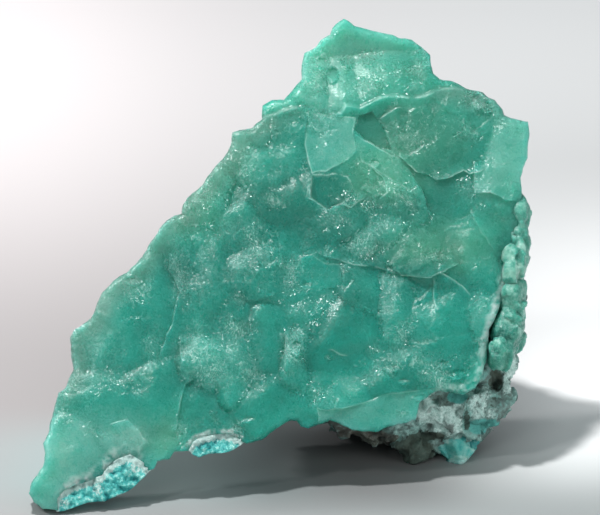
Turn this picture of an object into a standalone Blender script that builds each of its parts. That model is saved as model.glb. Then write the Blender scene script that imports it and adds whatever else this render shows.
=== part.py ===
"""A smithsonite specimen.

One thick translucent crust of blue-green smithsonite leans back on a lump of pitted
host rock. Its left half is swollen into smooth lobes, its upper right is chipped into
plates, and a paler knob stands behind a ledge at the top. A bright turquoise knob and a
row of small lobes grew on the rock, and a blue rind shows on the crust's broken lower
edge.

The crust is drawn on a sheet that leans back with it: u runs to the right, v up the
sheet and w behind it, all in millimetres. A point (u, v, w) is turned upright by
to_world. The object rests on the floor at z = 0 on the crust's tip, on the turquoise
knob with the rock beside it, and on a foot at the back of the rock.
"""

import bpy
import bmesh
import numpy as np
from itertools import product
from math import cos, pi, radians, sin
from mathutils import Vector
from mathutils.geometry import delaunay_2d_cdt

MM = 0.001

# Overall size and stance, in mm and degrees
SHEET_LEAN = 18.0
FLOOR_LIFT = -6.6
CENTRE_X = -4.0
CENTRE_Y = 13.8

# Room left between pieces that touch, and what flat facets take up of it
TOUCH_GAP = 0.35
FACET_ALLOWANCE = 0.35
ROOM_GAP = 0.6

# The crust's face is close to a plane: its depth where u and v are 0, and its slopes
FACE_DEPTH = -19.5
FACE_SLOPE_U = 0.155
FACE_SLOPE_V = 0.244

# Thickness of the crust at its rim and in its middle, and how far in the rim rounds over
RIM_THICKNESS = 7.0
FULL_THICKNESS = 14.0
TAPER_WIDTH = 18.0
RIM_ROUNDING = 3.4

# The top knob stands behind the ledge and is thinner than the rest
KNOB_SETBACK = 5.4
KNOB_THICKNESS = 10.0
LEDGE_WIDTH = 0.8
KNOB_BACK_BLEND = 9.0

# The crust's back is lumpy where it is bare: how far outside the rock that starts, over
# what width it grows, and how wide a rim stays even
BARE_START = 4.0
BARE_BLEND = 5.0
BARE_RIM = 6.0
BARE_LEDGES = 1.7

# Rock: bulk behind the crust, the upright wall below the crust's lip, and the back foot
ROCK_CENTRE = (15.0, 41.0)
ROCK_REACH = (36.0, 38.0)
ROCK_BULK = 21.0
ROCK_RIM = 3.0
WALL_TOP_V = 22.0
WALL_TOP_DEPTH = -3.3
WALL_SLOPE = -0.47
FOOT_PLACE = (12.0, 18.0)
FOOT_RADIUS = 9.5
FOOT_DEPTH = 30.0
FOOT_FALL = 9.0
ROCK_LEDGES = 4.0
LEAST_ROCK = 2.0

# Where the rock shows beyond the crust: the width over which it steps back, how far it
# steps back, and how its own edge rounds over
WALL_BLEND = 1.5
WALL_OFFSET = 0.45
WALL_SETBACK = 2.2
ROCK_ROUNDING = 1.6
ROCK_ROUNDING_WIDTH = 2.0

# The rinds: how far behind the face plane they start, and how much thinner they are
RIND_SETBACK = 1.4
RIND_SHORTFALL = 1.0

# Random relief in mm: width of the bumps, their height, and the seed that sets them out
BARE_BACK_RELIEF = [(12.0, 2.6, 3), (5.5, 1.3, 4)]
ROCK_BACK_RELIEF = [(12.0, 3.4, 11), (5.5, 1.6, 12)]
RIND_RELIEF = [(1.7, 0.7, 21)]

# Broken ledges rise between these shares of each step, counted from a half step
RISER_START = 0.22
RISER_END = 0.78
LEDGE_PHASE = 0.5

# Broken walls hollow inwards by this share of their roughness, give or take, in bumps
# this wide
WALL_HOLLOW = 0.7
WALL_VARIATION = 0.9
WALL_BUMPS = 7.0
CRUST_WALL_ROUGHNESS = 1.2
RIND_WALL_ROUGHNESS = 0.3
ROCK_WALL_ROUGHNESS = 2.6

# Spacing of the facets, in mm
FRONT_FACETS = 2.7
BACK_FACETS = 3.6
ROCK_FACETS = 2.7
ROCK_BACK_FACETS = 4.0
LUMP_FACETS = 1.1
RIND_FRONT_FACETS = 1.5
RIND_BACK_FACETS = 2.2
FACET_JITTER = 0.24
CLEAR_OF_CORNERS = 0.42
WELD = 0.02

# The crust's outline on the sheet, clockwise from the left tip
LEFT_EDGE = [
    (-54.0, 2.6), (-53.2, 5.0), (-51.0, 7.8), (-51.0, 12.6), (-49.0, 19.4), (-48.0, 22.4),
    (-45.2, 27.2), (-45.8, 33.6), (-44.8, 35.2), (-41.6, 37.4), (-39.4, 42.4), (-37.2, 44.8),
    (-34.0, 47.0), (-31.4, 49.6), (-29.0, 53.6), (-26.6, 56.8), (-23.6, 58.2), (-22.6, 61.4),
    (-19.6, 64.0), (-15.6, 69.0), (-13.8, 72.4), (-13.4, 74.4), (-9.6, 75.4), (-7.6, 77.2),
]
KNOB_EDGE = [
    (-7.4, 79.8), (-5.6, 81.0), (-3.2, 81.0), (0.2, 85.2), (0.6, 89.0), (1.0, 90.4),
    (4.2, 93.2), (6.0, 94.2), (8.8, 97.4), (10.8, 96.0), (14.0, 95.2), (18.6, 94.2),
    (22.4, 93.2), (24.6, 91.6), (26.0, 90.0), (26.6, 86.4), (28.0, 85.2), (33.4, 83.4),
]
RIGHT_EDGE = [
    (36.6, 82.6), (39.0, 81.0), (40.8, 78.0), (45.8, 76.8), (46.0, 74.4), (45.5, 70.0),
    (44.2, 65.4), (43.4, 60.0), (43.0, 55.0), (41.4, 51.0), (40.6, 45.0), (40.0, 41.0),
    (37.8, 35.0), (37.2, 29.4), (36.4, 26.0), (35.0, 23.4), (32.6, 22.0), (28.0, 23.0),
    (24.0, 20.6), (23.0, 17.0),
]
BOTTOM_EDGE = [
    (20.0, 16.2), (15.6, 14.8), (12.4, 14.8), (10.0, 15.4), (6.0, 17.0), (1.6, 15.3),
    (-0.6, 17.0), (-2.0, 17.0), (-6.0, 14.6), (-10.4, 12.4),
]
NICHE_OF_MIDDLE_RIND = [
    (-11.2, 13.2), (-12.3, 14.1), (-14.6, 14.8), (-17.0, 14.8), (-19.6, 14.1), (-21.4, 13.1),
    (-22.2, 11.2),
]
LOW_EDGE = [(-25.0, 10.8), (-26.0, 9.4), (-28.4, 9.0), (-29.0, 7.4)]
NICHE_OF_TIP_RIND = [
    (-30.0, 7.9), (-31.5, 9.0), (-34.0, 10.4), (-36.8, 9.6), (-39.0, 7.7), (-40.0, 6.3),
    (-41.9, 5.6), (-44.7, 4.8), (-47.3, 3.5), (-48.6, 1.7),
]
TIP_EDGE = [(-48.2, -0.7), (-51.0, -0.4), (-52.8, 0.8)]

CRUST_OUTLINE = (
    LEFT_EDGE + KNOB_EDGE + RIGHT_EDGE + BOTTOM_EDGE
    + NICHE_OF_MIDDLE_RIND + LOW_EDGE + NICHE_OF_TIP_RIND + TIP_EDGE
)

# The ledge in front of the knob, left to right; what is above it stands back
LEDGE = [
    (-9.0, 77.0), (-5.0, 78.2), (-1.6, 79.6), (3.2, 79.8), (3.8, 78.4), (6.0, 77.6),
    (8.4, 78.8), (10.4, 79.8), (14.4, 80.8), (18.0, 82.0), (22.4, 81.6), (28.0, 83.4),
    (34.0, 82.8),
]
ABOVE_LEDGE = LEDGE + [(40.0, 100.0), (-20.0, 100.0)]

# Swollen lobes of the crust: centre u, v, half width, half height and how far they stand out
LOBES = [
    (-36.0, 37.0, 10.0, 11.0, 3.0), (-41.0, 21.0, 7.6, 5.8, 2.4), (-29.0, 20.0, 5.2, 7.0, 2.2),
    (-45.0, 11.0, 7.0, 6.0, 2.2), (-52.0, 4.0, 4.0, 4.0, 1.6), (-34.5, 14.5, 4.6, 3.4, 1.6),
    (-27.4, 53.4, 4.0, 4.0, 2.2), (-20.4, 60.4, 4.0, 4.0, 2.2), (-17.0, 65.4, 2.4, 2.4, 1.4),
    (-12.0, 72.6, 2.6, 2.2, 1.4), (-7.6, 75.4, 2.8, 2.4, 1.4), (-19.0, 47.4, 6.6, 7.6, 2.8),
    (-7.6, 46.0, 5.6, 5.0, 2.4), (-11.0, 54.6, 4.8, 4.8, 2.0), (-4.0, 61.0, 8.0, 4.2, 1.8),
    (-7.0, 68.0, 5.6, 4.6, 2.0), (-20.0, 38.6, 3.8, 3.6, 1.8), (-19.0, 29.6, 4.8, 5.0, 2.6),
    (-12.6, 29.6, 3.2, 7.0, 2.3), (-1.0, 29.8, 2.8, 6.0, 2.3), (-6.4, 33.0, 3.2, 6.0, 1.9),
    (7.6, 32.4, 6.4, 6.0, 2.2), (19.4, 37.4, 3.8, 6.6, 2.0), (30.0, 34.6, 5.4, 5.6, 2.0),
    (36.2, 36.0, 3.0, 4.4, 1.6), (27.4, 27.0, 5.6, 3.8, 2.2), (13.0, 42.4, 4.4, 3.6, 1.6),
    (25.0, 50.4, 7.6, 4.8, 2.2), (34.4, 53.0, 4.0, 5.0, 1.8), (4.4, 56.0, 6.0, 4.2, 1.5),
    (26.4, 74.0, 8.0, 7.4, 3.2), (14.4, 53.4, 5.0, 4.0, 1.7), (-7.0, 21.0, 5.4, 6.0, 2.0),
    (6.0, 23.4, 8.0, 4.2, 1.6), (17.0, 25.6, 6.0, 4.0, 1.6), (39.6, 71.0, 5.6, 9.0, 1.4),
    (36.6, 45.0, 3.6, 4.4, 1.6), (-12.6, 38.6, 4.0, 3.6, 1.5), (19.6, 60.0, 5.6, 4.0, 1.4),
    (13.0, 89.0, 12.0, 8.0, 2.6), (3.6, 86.0, 3.0, 3.0, 1.6), (24.0, 88.0, 3.4, 3.4, 1.8),
    (-4.0, 80.0, 3.2, 1.6, 1.6), (33.0, 61.0, 4.4, 3.4, 1.4), (2.0, 38.4, 4.4, 3.4, 1.4),
]
LOBE_SPREAD = 1.3

# Chips broken out of the crust. Each has its outline, its height above the face plane at
# its middle, its slopes to the right and upwards, and how far its middle is hollowed.
CHIPS = [
    ("pale plate", [(1.6, 79.0), (8.0, 77.6), (11.4, 77.4), (10.6, 74.6), (11.0, 71.0),
                    (9.4, 69.0), (7.4, 67.6), (2.2, 66.4), (1.0, 72.0)],
     2.4, 0.05, -0.06, 0.3),
    ("rimmed pit", [(2.2, 66.0), (9.2, 65.8), (10.6, 63.0), (10.0, 61.4), (5.6, 59.2),
                    (3.6, 60.2), (2.2, 61.6)],
     1.0, -0.03, 0.05, 0.8),
    ("long slab", [(11.0, 74.0), (15.0, 72.0), (19.6, 69.4), (23.2, 66.6), (24.4, 64.4),
                   (22.4, 63.0), (19.6, 64.2), (12.4, 69.0), (11.2, 71.0)],
     1.7, 0.07, -0.02, 0.2),
    ("deep notch", [(11.0, 75.0), (12.0, 77.8), (14.4, 78.6), (16.4, 76.0), (18.4, 71.0),
                    (15.6, 71.8), (13.2, 73.0)],
     -0.6, 0.05, 0.10, 0.6),
    ("flat under the dome", [(20.0, 69.4), (23.0, 67.0), (27.0, 65.2), (30.4, 65.4), (34.0, 66.0),
                             (35.0, 62.0), (34.0, 58.0), (30.0, 57.0), (25.6, 59.0), (24.4, 63.0)],
     1.0, 0.0, 0.03, 0.3),
    ("facet with a pale end", [(0.0, 49.6), (2.4, 50.2), (5.0, 48.6), (8.0, 48.0), (8.4, 44.0),
                               (2.0, 43.0), (-1.6, 43.2), (-1.0, 47.0)],
     1.7, 0.09, -0.04, 0.2),
    ("fan plate", [(26.4, 45.8), (28.0, 46.6), (32.4, 44.0), (34.4, 41.6), (34.0, 38.0),
                   (28.0, 37.0), (27.2, 38.0)],
     1.9, -0.06, 0.05, 0.2),
    ("dark facet", [(-21.0, 25.0), (-22.8, 24.2), (-23.8, 20.6), (-24.8, 14.0), (-21.0, 14.6),
                    (-17.0, 15.6), (-15.0, 20.0), (-17.0, 25.0)],
     1.2, 0.05, 0.05, 0.4),
    ("bottom lip", [(4.0, 20.0), (8.0, 19.2), (12.0, 20.4), (18.0, 22.4), (25.0, 23.2),
                    (30.0, 24.0), (30.0, 12.0), (2.0, 12.0)],
     0.6, 0.0, 0.24, 0.0),
]
CHIP_EDGE = 0.5
STEP_WIDTH = 0.8

# Outlines of the two rinds and of the rock, on the same sheet
TIP_RIND_OUTLINE = [
    (-48.0, 1.5), (-46.8, 3.0), (-44.4, 4.2), (-41.6, 5.0), (-39.4, 5.8), (-38.4, 7.2),
    (-36.4, 9.0), (-34.0, 9.8), (-31.8, 8.4), (-30.2, 7.0), (-31.4, 5.6), (-34.4, 3.0),
    (-38.8, 1.2), (-42.2, 0.9), (-44.4, 0.1), (-46.2, -0.7), (-47.6, -0.7),
]
MIDDLE_RIND_OUTLINE = [
    (-21.6, 11.2), (-21.0, 12.6), (-19.4, 13.6), (-17.0, 14.2), (-14.6, 14.2), (-12.5, 13.5),
    (-11.6, 12.6), (-13.4, 11.2), (-15.4, 10.6), (-18.0, 10.6), (-20.0, 9.8), (-21.4, 10.4),
]
ROCK_OUTLINE = [
    (6.0, 16.4), (8.4, 13.6), (11.0, 14.0), (13.4, 13.0), (16.6, 12.2), (19.0, 12.0),
    (20.0, 10.6), (21.6, 8.8), (24.6, 7.6), (26.6, 8.8), (29.0, 11.0), (33.0, 12.0),
    (38.2, 14.8), (39.8, 16.6), (41.4, 18.0), (41.6, 20.0), (42.4, 22.0), (42.0, 25.0),
    (43.4, 27.6), (43.0, 31.6), (43.4, 36.0), (44.2, 38.4), (44.2, 41.0), (43.4, 45.0),
    (44.6, 50.0), (44.6, 55.0), (45.4, 57.0), (45.6, 60.0), (44.4, 61.8), (41.0, 64.0),
    (37.0, 67.6), (30.0, 70.4), (20.0, 71.0), (8.0, 68.4), (-2.0, 64.0), (-12.0, 54.0),
    (-20.0, 43.0), (-24.0, 32.0), (-22.0, 23.0), (-14.0, 18.6), (-4.0, 19.0),
]
# Lumps and pits of the rock's open front: centre u, v, half sizes, height
ROCK_LUMPS = [
    (28.0, 18.6, 5.4, 3.8, 2.2), (34.8, 20.0, 3.2, 4.6, 2.4), (40.6, 27.4, 2.4, 5.0, 1.6),
    (22.6, 10.8, 3.6, 2.6, 1.6), (12.0, 14.8, 7.0, 2.2, 1.0), (17.6, 13.6, 3.0, 1.8, 1.2),
    (38.6, 17.8, 2.6, 2.4, 1.6),
]
ROCK_PITS = [(39.4, 24.6, 2.0, 2.4, 2.4), (27.4, 21.8, 1.6, 1.2, 1.6), (24.6, 13.6, 2.0, 1.2, 1.4)]

# Small rounded bodies: centre u, v, how deep behind the rock's front, and their radii
KNOB_BALLS = [
    (31.2, 11.6, 4.4, 4.1, 4.2, 4.2), (34.4, 13.9, 5.0, 3.2, 2.8, 3.4), (29.0, 13.2, 4.2, 2.4, 2.2, 2.6),
]
EDGE_BALLS = [
    (41.5, 34.8, 2.0, 2.3, 3.2, 2.6), (42.5, 40.6, 2.6, 2.1, 3.8, 2.6),
    (42.4, 46.6, 2.6, 1.9, 3.2, 2.4), (43.5, 50.6, 3.2, 1.7, 3.4, 2.6),
    (44.3, 56.4, 3.4, 1.6, 4.4, 2.6), (40.3, 30.6, 2.0, 1.7, 2.0, 2.0),
    (42.6, 37.6, 6.4, 1.9, 2.8, 2.8), (43.2, 43.4, 6.8, 1.7, 2.6, 3.2),
    (43.4, 33.0, 5.4, 1.6, 2.2, 2.4), (43.8, 52.6, 7.2, 1.6, 2.4, 2.6),
    (43.0, 47.8, 9.6, 1.5, 2.2, 2.2), (42.8, 39.2, 10.0, 1.5, 2.0, 2.2),
]
BALL_SIDES = 4
BALL_SINK = 2.0
BALL_UNEVENNESS = 0.10
BALL_BUMPS = 0.7
LUMP_THINNING = 0.45


def smooth(t):
    """Rises from 0 to 1 with level ends."""
    t = np.clip(t, 0.0, 1.0)
    return t * t * (3.0 - 2.0 * t)


def to_world(u, v, w):
    """Turns points on the leaning sheet upright, in metres, over the origin."""
    lean = radians(SHEET_LEAN)
    x = u - CENTRE_X
    y = w * cos(lean) + v * sin(lean) - CENTRE_Y
    z = v * cos(lean) - w * sin(lean) + FLOOR_LIFT
    return np.stack([x, y, z], axis=1) * MM


def random_relief(points, cell, seed):
    """Smooth random heights from -1 to 1 whose bumps are about one cell wide."""
    table = np.random.default_rng(seed).uniform(-1.0, 1.0, 4096)
    scaled = points / cell
    corner = np.floor(scaled).astype(np.int64)
    part = scaled - corner
    part = part * part * (3.0 - 2.0 * part)
    total = np.zeros(len(points))
    for step in product((0, 1), repeat=3):
        at = corner + np.array(step)
        index = (at[:, 0] * 73856093 ^ at[:, 1] * 19349663 ^ at[:, 2] * 83492791) % len(table)
        weight = np.where(np.array(step) == 1, part, 1.0 - part).prod(axis=1)
        total += weight * table[index]
    return total


def flat(u, v):
    return np.stack([u, v, np.zeros(u.shape)], axis=1)


def layered_relief(u, v, layers):
    """Relief of several sizes added up, in mm."""
    return sum(height * random_relief(flat(u, v), cell, seed) for cell, height, seed in layers)


def depth_inside(u, v, outline):
    """Distance to a closed outline, positive inside it and negative outside."""
    ring = np.array(outline)
    nearest = np.full(u.shape, 1e9)
    inside = np.zeros(u.shape, bool)
    for (au, av), (bu, bv) in zip(ring, np.roll(ring, -1, axis=0)):
        du, dv = bu - au, bv - av
        t = np.clip(((u - au) * du + (v - av) * dv) / (du * du + dv * dv), 0.0, 1.0)
        nearest = np.minimum(nearest, np.hypot(u - au - t * du, v - av - t * dv))
        crosses = (av > v) != (bv > v)
        if dv:
            inside ^= crosses & (u < au + (v - av) * du / dv)
    return np.where(inside, nearest, -nearest)


def caps(u, v, centres, spread=LOBE_SPREAD):
    """Rounded caps that meet in creases: the highest one wins."""
    height = np.zeros(u.shape)
    for cu, cv, ru, rv, rise in centres:
        out = ((u - cu) / (ru * spread)) ** 2 + ((v - cv) / (rv * spread)) ** 2
        height = np.maximum(height, rise * (1.0 - out))
    return height


def ledges(height, step):
    """Breaks an even slope into treads and risers."""
    counted = height / step + LEDGE_PHASE
    level = np.floor(counted)
    riser = smooth((counted - level - RISER_START) / (RISER_END - RISER_START))
    return step * (level + riser - LEDGE_PHASE)


def face_plane(u, v):
    return FACE_DEPTH + FACE_SLOPE_U * u + FACE_SLOPE_V * v


def behind_ledge(u, v, width):
    """1 on the knob behind the ledge, 0 on the crust in front of it."""
    return smooth(depth_inside(u, v, ABOVE_LEDGE) / width + 0.5)


def crust_front(u, v):
    """Depth of the crust's lobed and chipped front."""
    height = caps(u, v, LOBES)
    for _, outline, rise, slope_u, slope_v, hollow in CHIPS:
        depth = depth_inside(u, v, outline)
        middle_u, middle_v = np.mean(outline, axis=0)
        reach = max(np.ptp(np.array(outline), axis=0)) / 2
        bowl = 1.0 - np.minimum(((u - middle_u) ** 2 + (v - middle_v) ** 2) / reach ** 2, 1.0)
        plate = rise + slope_u * (u - middle_u) + slope_v * (v - middle_v) - hollow * bowl
        height += (plate - height) * smooth(depth / CHIP_EDGE + 0.5)
    height -= KNOB_SETBACK * behind_ledge(u, v, LEDGE_WIDTH)
    rim = np.clip(depth_inside(u, v, CRUST_OUTLINE) / RIM_ROUNDING, 0.0, 1.0)
    height -= RIM_ROUNDING * (1.0 - np.sqrt(1.0 - (1.0 - rim) ** 2))
    return face_plane(u, v) - height


def crust_back(u, v):
    """Depth of the crust's even back."""
    rim = smooth(depth_inside(u, v, CRUST_OUTLINE) / TAPER_WIDTH)
    body = RIM_THICKNESS + (FULL_THICKNESS - RIM_THICKNESS) * rim
    knob = KNOB_SETBACK + RIM_THICKNESS + (KNOB_THICKNESS - RIM_THICKNESS) * rim
    return face_plane(u, v) + body + (knob - body) * behind_ledge(u, v, KNOB_BACK_BLEND)


def open_crust_back(u, v):
    """The crust's back, lumpy where no rock covers it."""
    bare = smooth((-depth_inside(u, v, ROCK_OUTLINE) - BARE_START) / BARE_BLEND)
    lumps = layered_relief(u, v, BARE_BACK_RELIEF)
    rim = smooth(depth_inside(u, v, CRUST_OUTLINE) / BARE_RIM)
    return crust_back(u, v) + bare * rim * ledges(lumps, BARE_LEDGES)


def rock_front(u, v):
    """Depth of the rock's front: against the crust above, an upright lumpy wall below."""
    against_crust = crust_back(u, v) + TOUCH_GAP + FACET_ALLOWANCE
    wall = WALL_TOP_DEPTH + WALL_SLOPE * (v - WALL_TOP_V)
    outside = smooth((-depth_inside(u, v, CRUST_OUTLINE) - WALL_OFFSET) / WALL_BLEND)
    relief = caps(u, v, ROCK_LUMPS) - caps(u, v, ROCK_PITS)
    rim = np.clip(depth_inside(u, v, ROCK_OUTLINE) / ROCK_ROUNDING_WIDTH, 0.0, 1.0)
    rounding = ROCK_ROUNDING * (1.0 - np.sqrt(1.0 - (1.0 - rim) ** 2))
    return np.maximum(against_crust, wall) + outside * (WALL_SETBACK - relief + rounding)


def rock_back(u, v):
    """Depth of the rock's rounded back, with the foot that props the object."""
    out = ((u - ROCK_CENTRE[0]) / ROCK_REACH[0]) ** 2 + ((v - ROCK_CENTRE[1]) / ROCK_REACH[1]) ** 2
    bulk = rock_front(u, v) + ROCK_RIM + ROCK_BULK * np.sqrt(np.clip(1.0 - out, 0.0, 1.0))
    bulk = ledges(bulk + layered_relief(u, v, ROCK_BACK_RELIEF), ROCK_LEDGES)
    foot_out = ((u - FOOT_PLACE[0]) ** 2 + (v - FOOT_PLACE[1]) ** 2) / FOOT_RADIUS ** 2
    foot = FOOT_DEPTH - FOOT_FALL * foot_out ** 2
    return np.maximum(np.maximum(bulk, foot), rock_front(u, v) + LEAST_ROCK)


def rind_front(u, v):
    """The rinds' granular front, level with the crust around them."""
    return face_plane(u, v) + RIND_SETBACK + layered_relief(u, v, RIND_RELIEF)


def rind_back(u, v):
    return face_plane(u, v) + RIM_THICKNESS - RIND_SHORTFALL


def both_sides(line, apart):
    """Points on either side of each corner of a line, so that facets follow a sharp step."""
    path = np.array(line)
    along = np.gradient(path, axis=0)
    across = np.stack([along[:, 1], -along[:, 0]], axis=1)
    across /= np.linalg.norm(across, axis=1)[:, None]
    return np.vstack([path + across * apart / 2, path - across * apart / 2])


def triangulate(outline, spacing, seed, steps=()):
    """Covers an outline with triangles: its own points, jittered rows, and any steps."""
    ring = np.array(outline)
    low, high = ring.min(axis=0), ring.max(axis=0)
    row_height = spacing * sin(pi / 3)
    rows = np.arange(low[1], high[1], row_height)
    points = [(x + (i % 2) * spacing / 2, y)
              for i, y in enumerate(rows) for x in np.arange(low[0], high[0], spacing)]
    jitter = np.random.default_rng(seed).uniform(-FACET_JITTER, FACET_JITTER, (len(points), 2))
    points = np.array(points) + jitter * spacing
    if len(steps):
        near = np.linalg.norm(points[:, None, :] - steps[None, :, :], axis=2).min(axis=1)
        points = np.vstack([steps, points[near > spacing * CLEAR_OF_CORNERS]])
    points = points[depth_inside(points[:, 0], points[:, 1], ring) > spacing * CLEAR_OF_CORNERS]
    places = [Vector(p) for p in np.vstack([ring, points])]
    result = delaunay_2d_cdt(places, [], [list(range(len(ring)))], 1, 1e-6)
    return np.array([tuple(p) for p in result[0]]), [tuple(f) for f in result[2]]


def slab(outline, front_spacing, back_spacing, front, back, rows, rough, seed, steps=()):
    """A closed body between a front and a back, with a rough wall around its outline."""
    anticlockwise = outline[::-1] if signed_area(outline) < 0 else outline
    ring = np.array(anticlockwise)
    count = len(ring)
    front_uv, front_faces = triangulate(anticlockwise, front_spacing, seed, steps)
    back_uv, back_faces = triangulate(anticlockwise, back_spacing, seed + 1)
    front_w = front(front_uv[:, 0], front_uv[:, 1])
    back_w = back(back_uv[:, 0], back_uv[:, 1])

    along = np.roll(ring, -1, axis=0) - np.roll(ring, 1, axis=0)
    inward = np.stack([-along[:, 1], along[:, 0]], axis=1)
    inward /= np.linalg.norm(inward, axis=1)[:, None]
    uv, w = [front_uv], [front_w]
    for row in range(1, rows + 1):
        share = row / (rows + 1)
        row_w = front_w[:count] * (1 - share) + back_w[:count] * share
        at = np.column_stack([ring, row_w])
        uneven = WALL_HOLLOW + WALL_VARIATION * random_relief(at, WALL_BUMPS, seed + 2)
        push = rough * sin(pi * share) * np.maximum(uneven, 0.0)
        uv.append(ring + inward * push[:, None])
        w.append(row_w)
    uv = np.vstack(uv + [back_uv])
    w = np.concatenate(w + [back_w])

    faces = list(front_faces)
    first_back = len(front_uv) + rows * count
    faces += [tuple(first_back + i for i in reversed(f)) for f in back_faces]
    starts = [0] + [len(front_uv) + row * count for row in range(rows)] + [first_back]
    for near, far in zip(starts, starts[1:]):
        for i in range(count):
            j = (i + 1) % count
            faces.append((near + j, near + i, far + i))
            faces.append((near + j, far + i, far + j))
    return to_world(uv[:, 0], uv[:, 1], w), faces


def signed_area(outline):
    u, v = np.array(outline).T
    return float(np.sum(u * np.roll(v, -1) - v * np.roll(u, -1))) / 2


def fused_balls(balls, extra):
    """Egg-shaped lumps grown together into one body; extra makes each one larger."""
    mesh = bmesh.new()
    for u, v, behind, ru, rv, rw in balls:
        w = float(rock_front(np.array([u]), np.array([v]))[0]) + behind - BALL_SINK
        made = bmesh.ops.create_icosphere(mesh, subdivisions=BALL_SIDES, radius=1.0)
        corners = np.array([tuple(p.co) for p in made["verts"]])
        swell = 1.0 + BALL_UNEVENNESS * random_relief(corners + (u, v, 0.0), BALL_BUMPS, 31)
        corners *= swell[:, None]
        placed = to_world(
            u + corners[:, 0] * (ru + extra),
            v + corners[:, 1] * (rv + extra),
            w + corners[:, 2] * (rw + extra))
        for point, place in zip(made["verts"], placed):
            point.co = place
    return mesh


def floor_cut(mesh):
    """Cuts off what is below the floor and closes the cut with a flat foot."""
    parts = mesh.verts[:] + mesh.edges[:] + mesh.faces[:]
    cut = bmesh.ops.bisect_plane(
        mesh, geom=parts, dist=1e-6, plane_co=(0, 0, 0), plane_no=(0, 0, 1), clear_inner=True)
    edges = [e for e in cut["geom_cut"] if isinstance(e, bmesh.types.BMEdge)]
    if edges:
        bmesh.ops.triangle_fill(mesh, edges=edges, use_beauty=True, use_dissolve=False)


def add_object(name, mesh, material):
    bmesh.ops.remove_doubles(mesh, verts=mesh.verts[:], dist=WELD * MM)
    bmesh.ops.recalc_face_normals(mesh, faces=mesh.faces[:])
    data = bpy.data.meshes.new(name)
    mesh.to_mesh(data)
    mesh.free()
    thing = bpy.data.objects.new(name, data)
    bpy.context.scene.collection.objects.link(thing)
    if material:
        data.materials.append(material)
    return thing


def mesh_from(points, faces):
    mesh = bmesh.new()
    corners = [mesh.verts.new(p) for p in points]
    for face in faces:
        mesh.faces.new([corners[i] for i in face])
    return mesh


def finish(name, colour, roughness):
    material = bpy.data.materials.new(name)
    material.use_nodes = True
    shader = material.node_tree.nodes["Principled BSDF"]
    shader.inputs["Base Color"].default_value = (*colour, 1.0)
    shader.inputs["Roughness"].default_value = roughness
    shader.inputs["Metallic"].default_value = 0.0
    return material


def make_crust():
    sharp_lines = [outline for _, outline, *_ in CHIPS[:-1]] + [LEDGE[1:-1]]
    steps = np.vstack([both_sides(line, STEP_WIDTH) for line in sharp_lines])
    points, faces = slab(
        CRUST_OUTLINE, FRONT_FACETS, BACK_FACETS, crust_front, open_crust_back, 1,
        CRUST_WALL_ROUGHNESS, 101, steps)
    mesh = mesh_from(points, faces)
    floor_cut(mesh)
    add_object("smithsonite_crust", mesh, finish("green smithsonite", (0.10, 0.36, 0.27), 0.35))


def make_rinds():
    blue = finish("blue rind", (0.12, 0.42, 0.42), 0.6)
    for name, outline, seed in (
            ("blue_rind_tip", TIP_RIND_OUTLINE, 201), ("blue_rind_middle", MIDDLE_RIND_OUTLINE, 211)):
        points, faces = slab(
            outline, RIND_FRONT_FACETS, RIND_BACK_FACETS, rind_front, rind_back, 1,
            RIND_WALL_ROUGHNESS, seed)
        mesh = mesh_from(points, faces)
        floor_cut(mesh)
        add_object(name, mesh, blue)


def grow_together(name, balls, extra, material):
    """Fuses the balls through a remesh, thins the result and cuts it at the floor."""
    rough = add_object(name + "_balls", fused_balls(balls, extra), None)
    remesh = rough.modifiers.new("grow together", "REMESH")
    remesh.mode = "VOXEL"
    remesh.voxel_size = LUMP_FACETS * MM
    thin = rough.modifiers.new("fewer facets", "DECIMATE")
    thin.ratio = LUMP_THINNING
    evaluated = rough.evaluated_get(bpy.context.evaluated_depsgraph_get())
    mesh = bmesh.new()
    mesh.from_mesh(evaluated.to_mesh())
    bmesh.ops.triangulate(mesh, faces=mesh.faces[:])
    bpy.data.objects.remove(rough)
    floor_cut(mesh)
    return add_object(name, mesh, material)


def make_lumps():
    turquoise = finish("turquoise", (0.03, 0.48, 0.45), 0.4)
    teal = finish("teal lobes", (0.14, 0.45, 0.36), 0.4)
    grow_together("turquoise_knob", KNOB_BALLS, 0.0, turquoise)
    grow_together("right_edge_lobes", EDGE_BALLS, 0.0, teal)


def make_rock():
    """The host rock, with room cut out of it for the lumps that grew on it."""
    points, faces = slab(
        ROCK_OUTLINE, ROCK_FACETS, ROCK_BACK_FACETS, rock_front, rock_back, 3,
        ROCK_WALL_ROUGHNESS, 301)
    mesh = mesh_from(points, faces)
    floor_cut(mesh)
    rock = add_object("host_rock", mesh, finish("host rock", (0.33, 0.31, 0.28), 0.85))
    for name, balls in (("knob_room", KNOB_BALLS), ("edge_lobe_room", EDGE_BALLS)):
        room = grow_together(name, balls, ROOM_GAP, None)
        room.hide_render = True
        room.display_type = "WIRE"
        cut = rock.modifiers.new(name, "BOOLEAN")
        cut.operation = "DIFFERENCE"
        cut.object = room


for old in list(bpy.data.objects):
    bpy.data.objects.remove(old)
make_crust()
make_rinds()
make_lumps()
make_rock()
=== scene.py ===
"""The looks of a smithsonite specimen: a translucent lobed and chipped green crust on
pitted host rock, with a turquoise knob, small edge lobes and a blue rind.

Shapes are drawn, as in the model, on a sheet that leans back with the crust: u runs to
the right, v up the sheet and w behind it, in millimetres.
"""

from itertools import product
from math import cos, pi, radians, sin

import bmesh
import bpy
import numpy as np
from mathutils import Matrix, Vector
from mathutils.geometry import delaunay_2d_cdt
from mathutils.kdtree import KDTree


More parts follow.
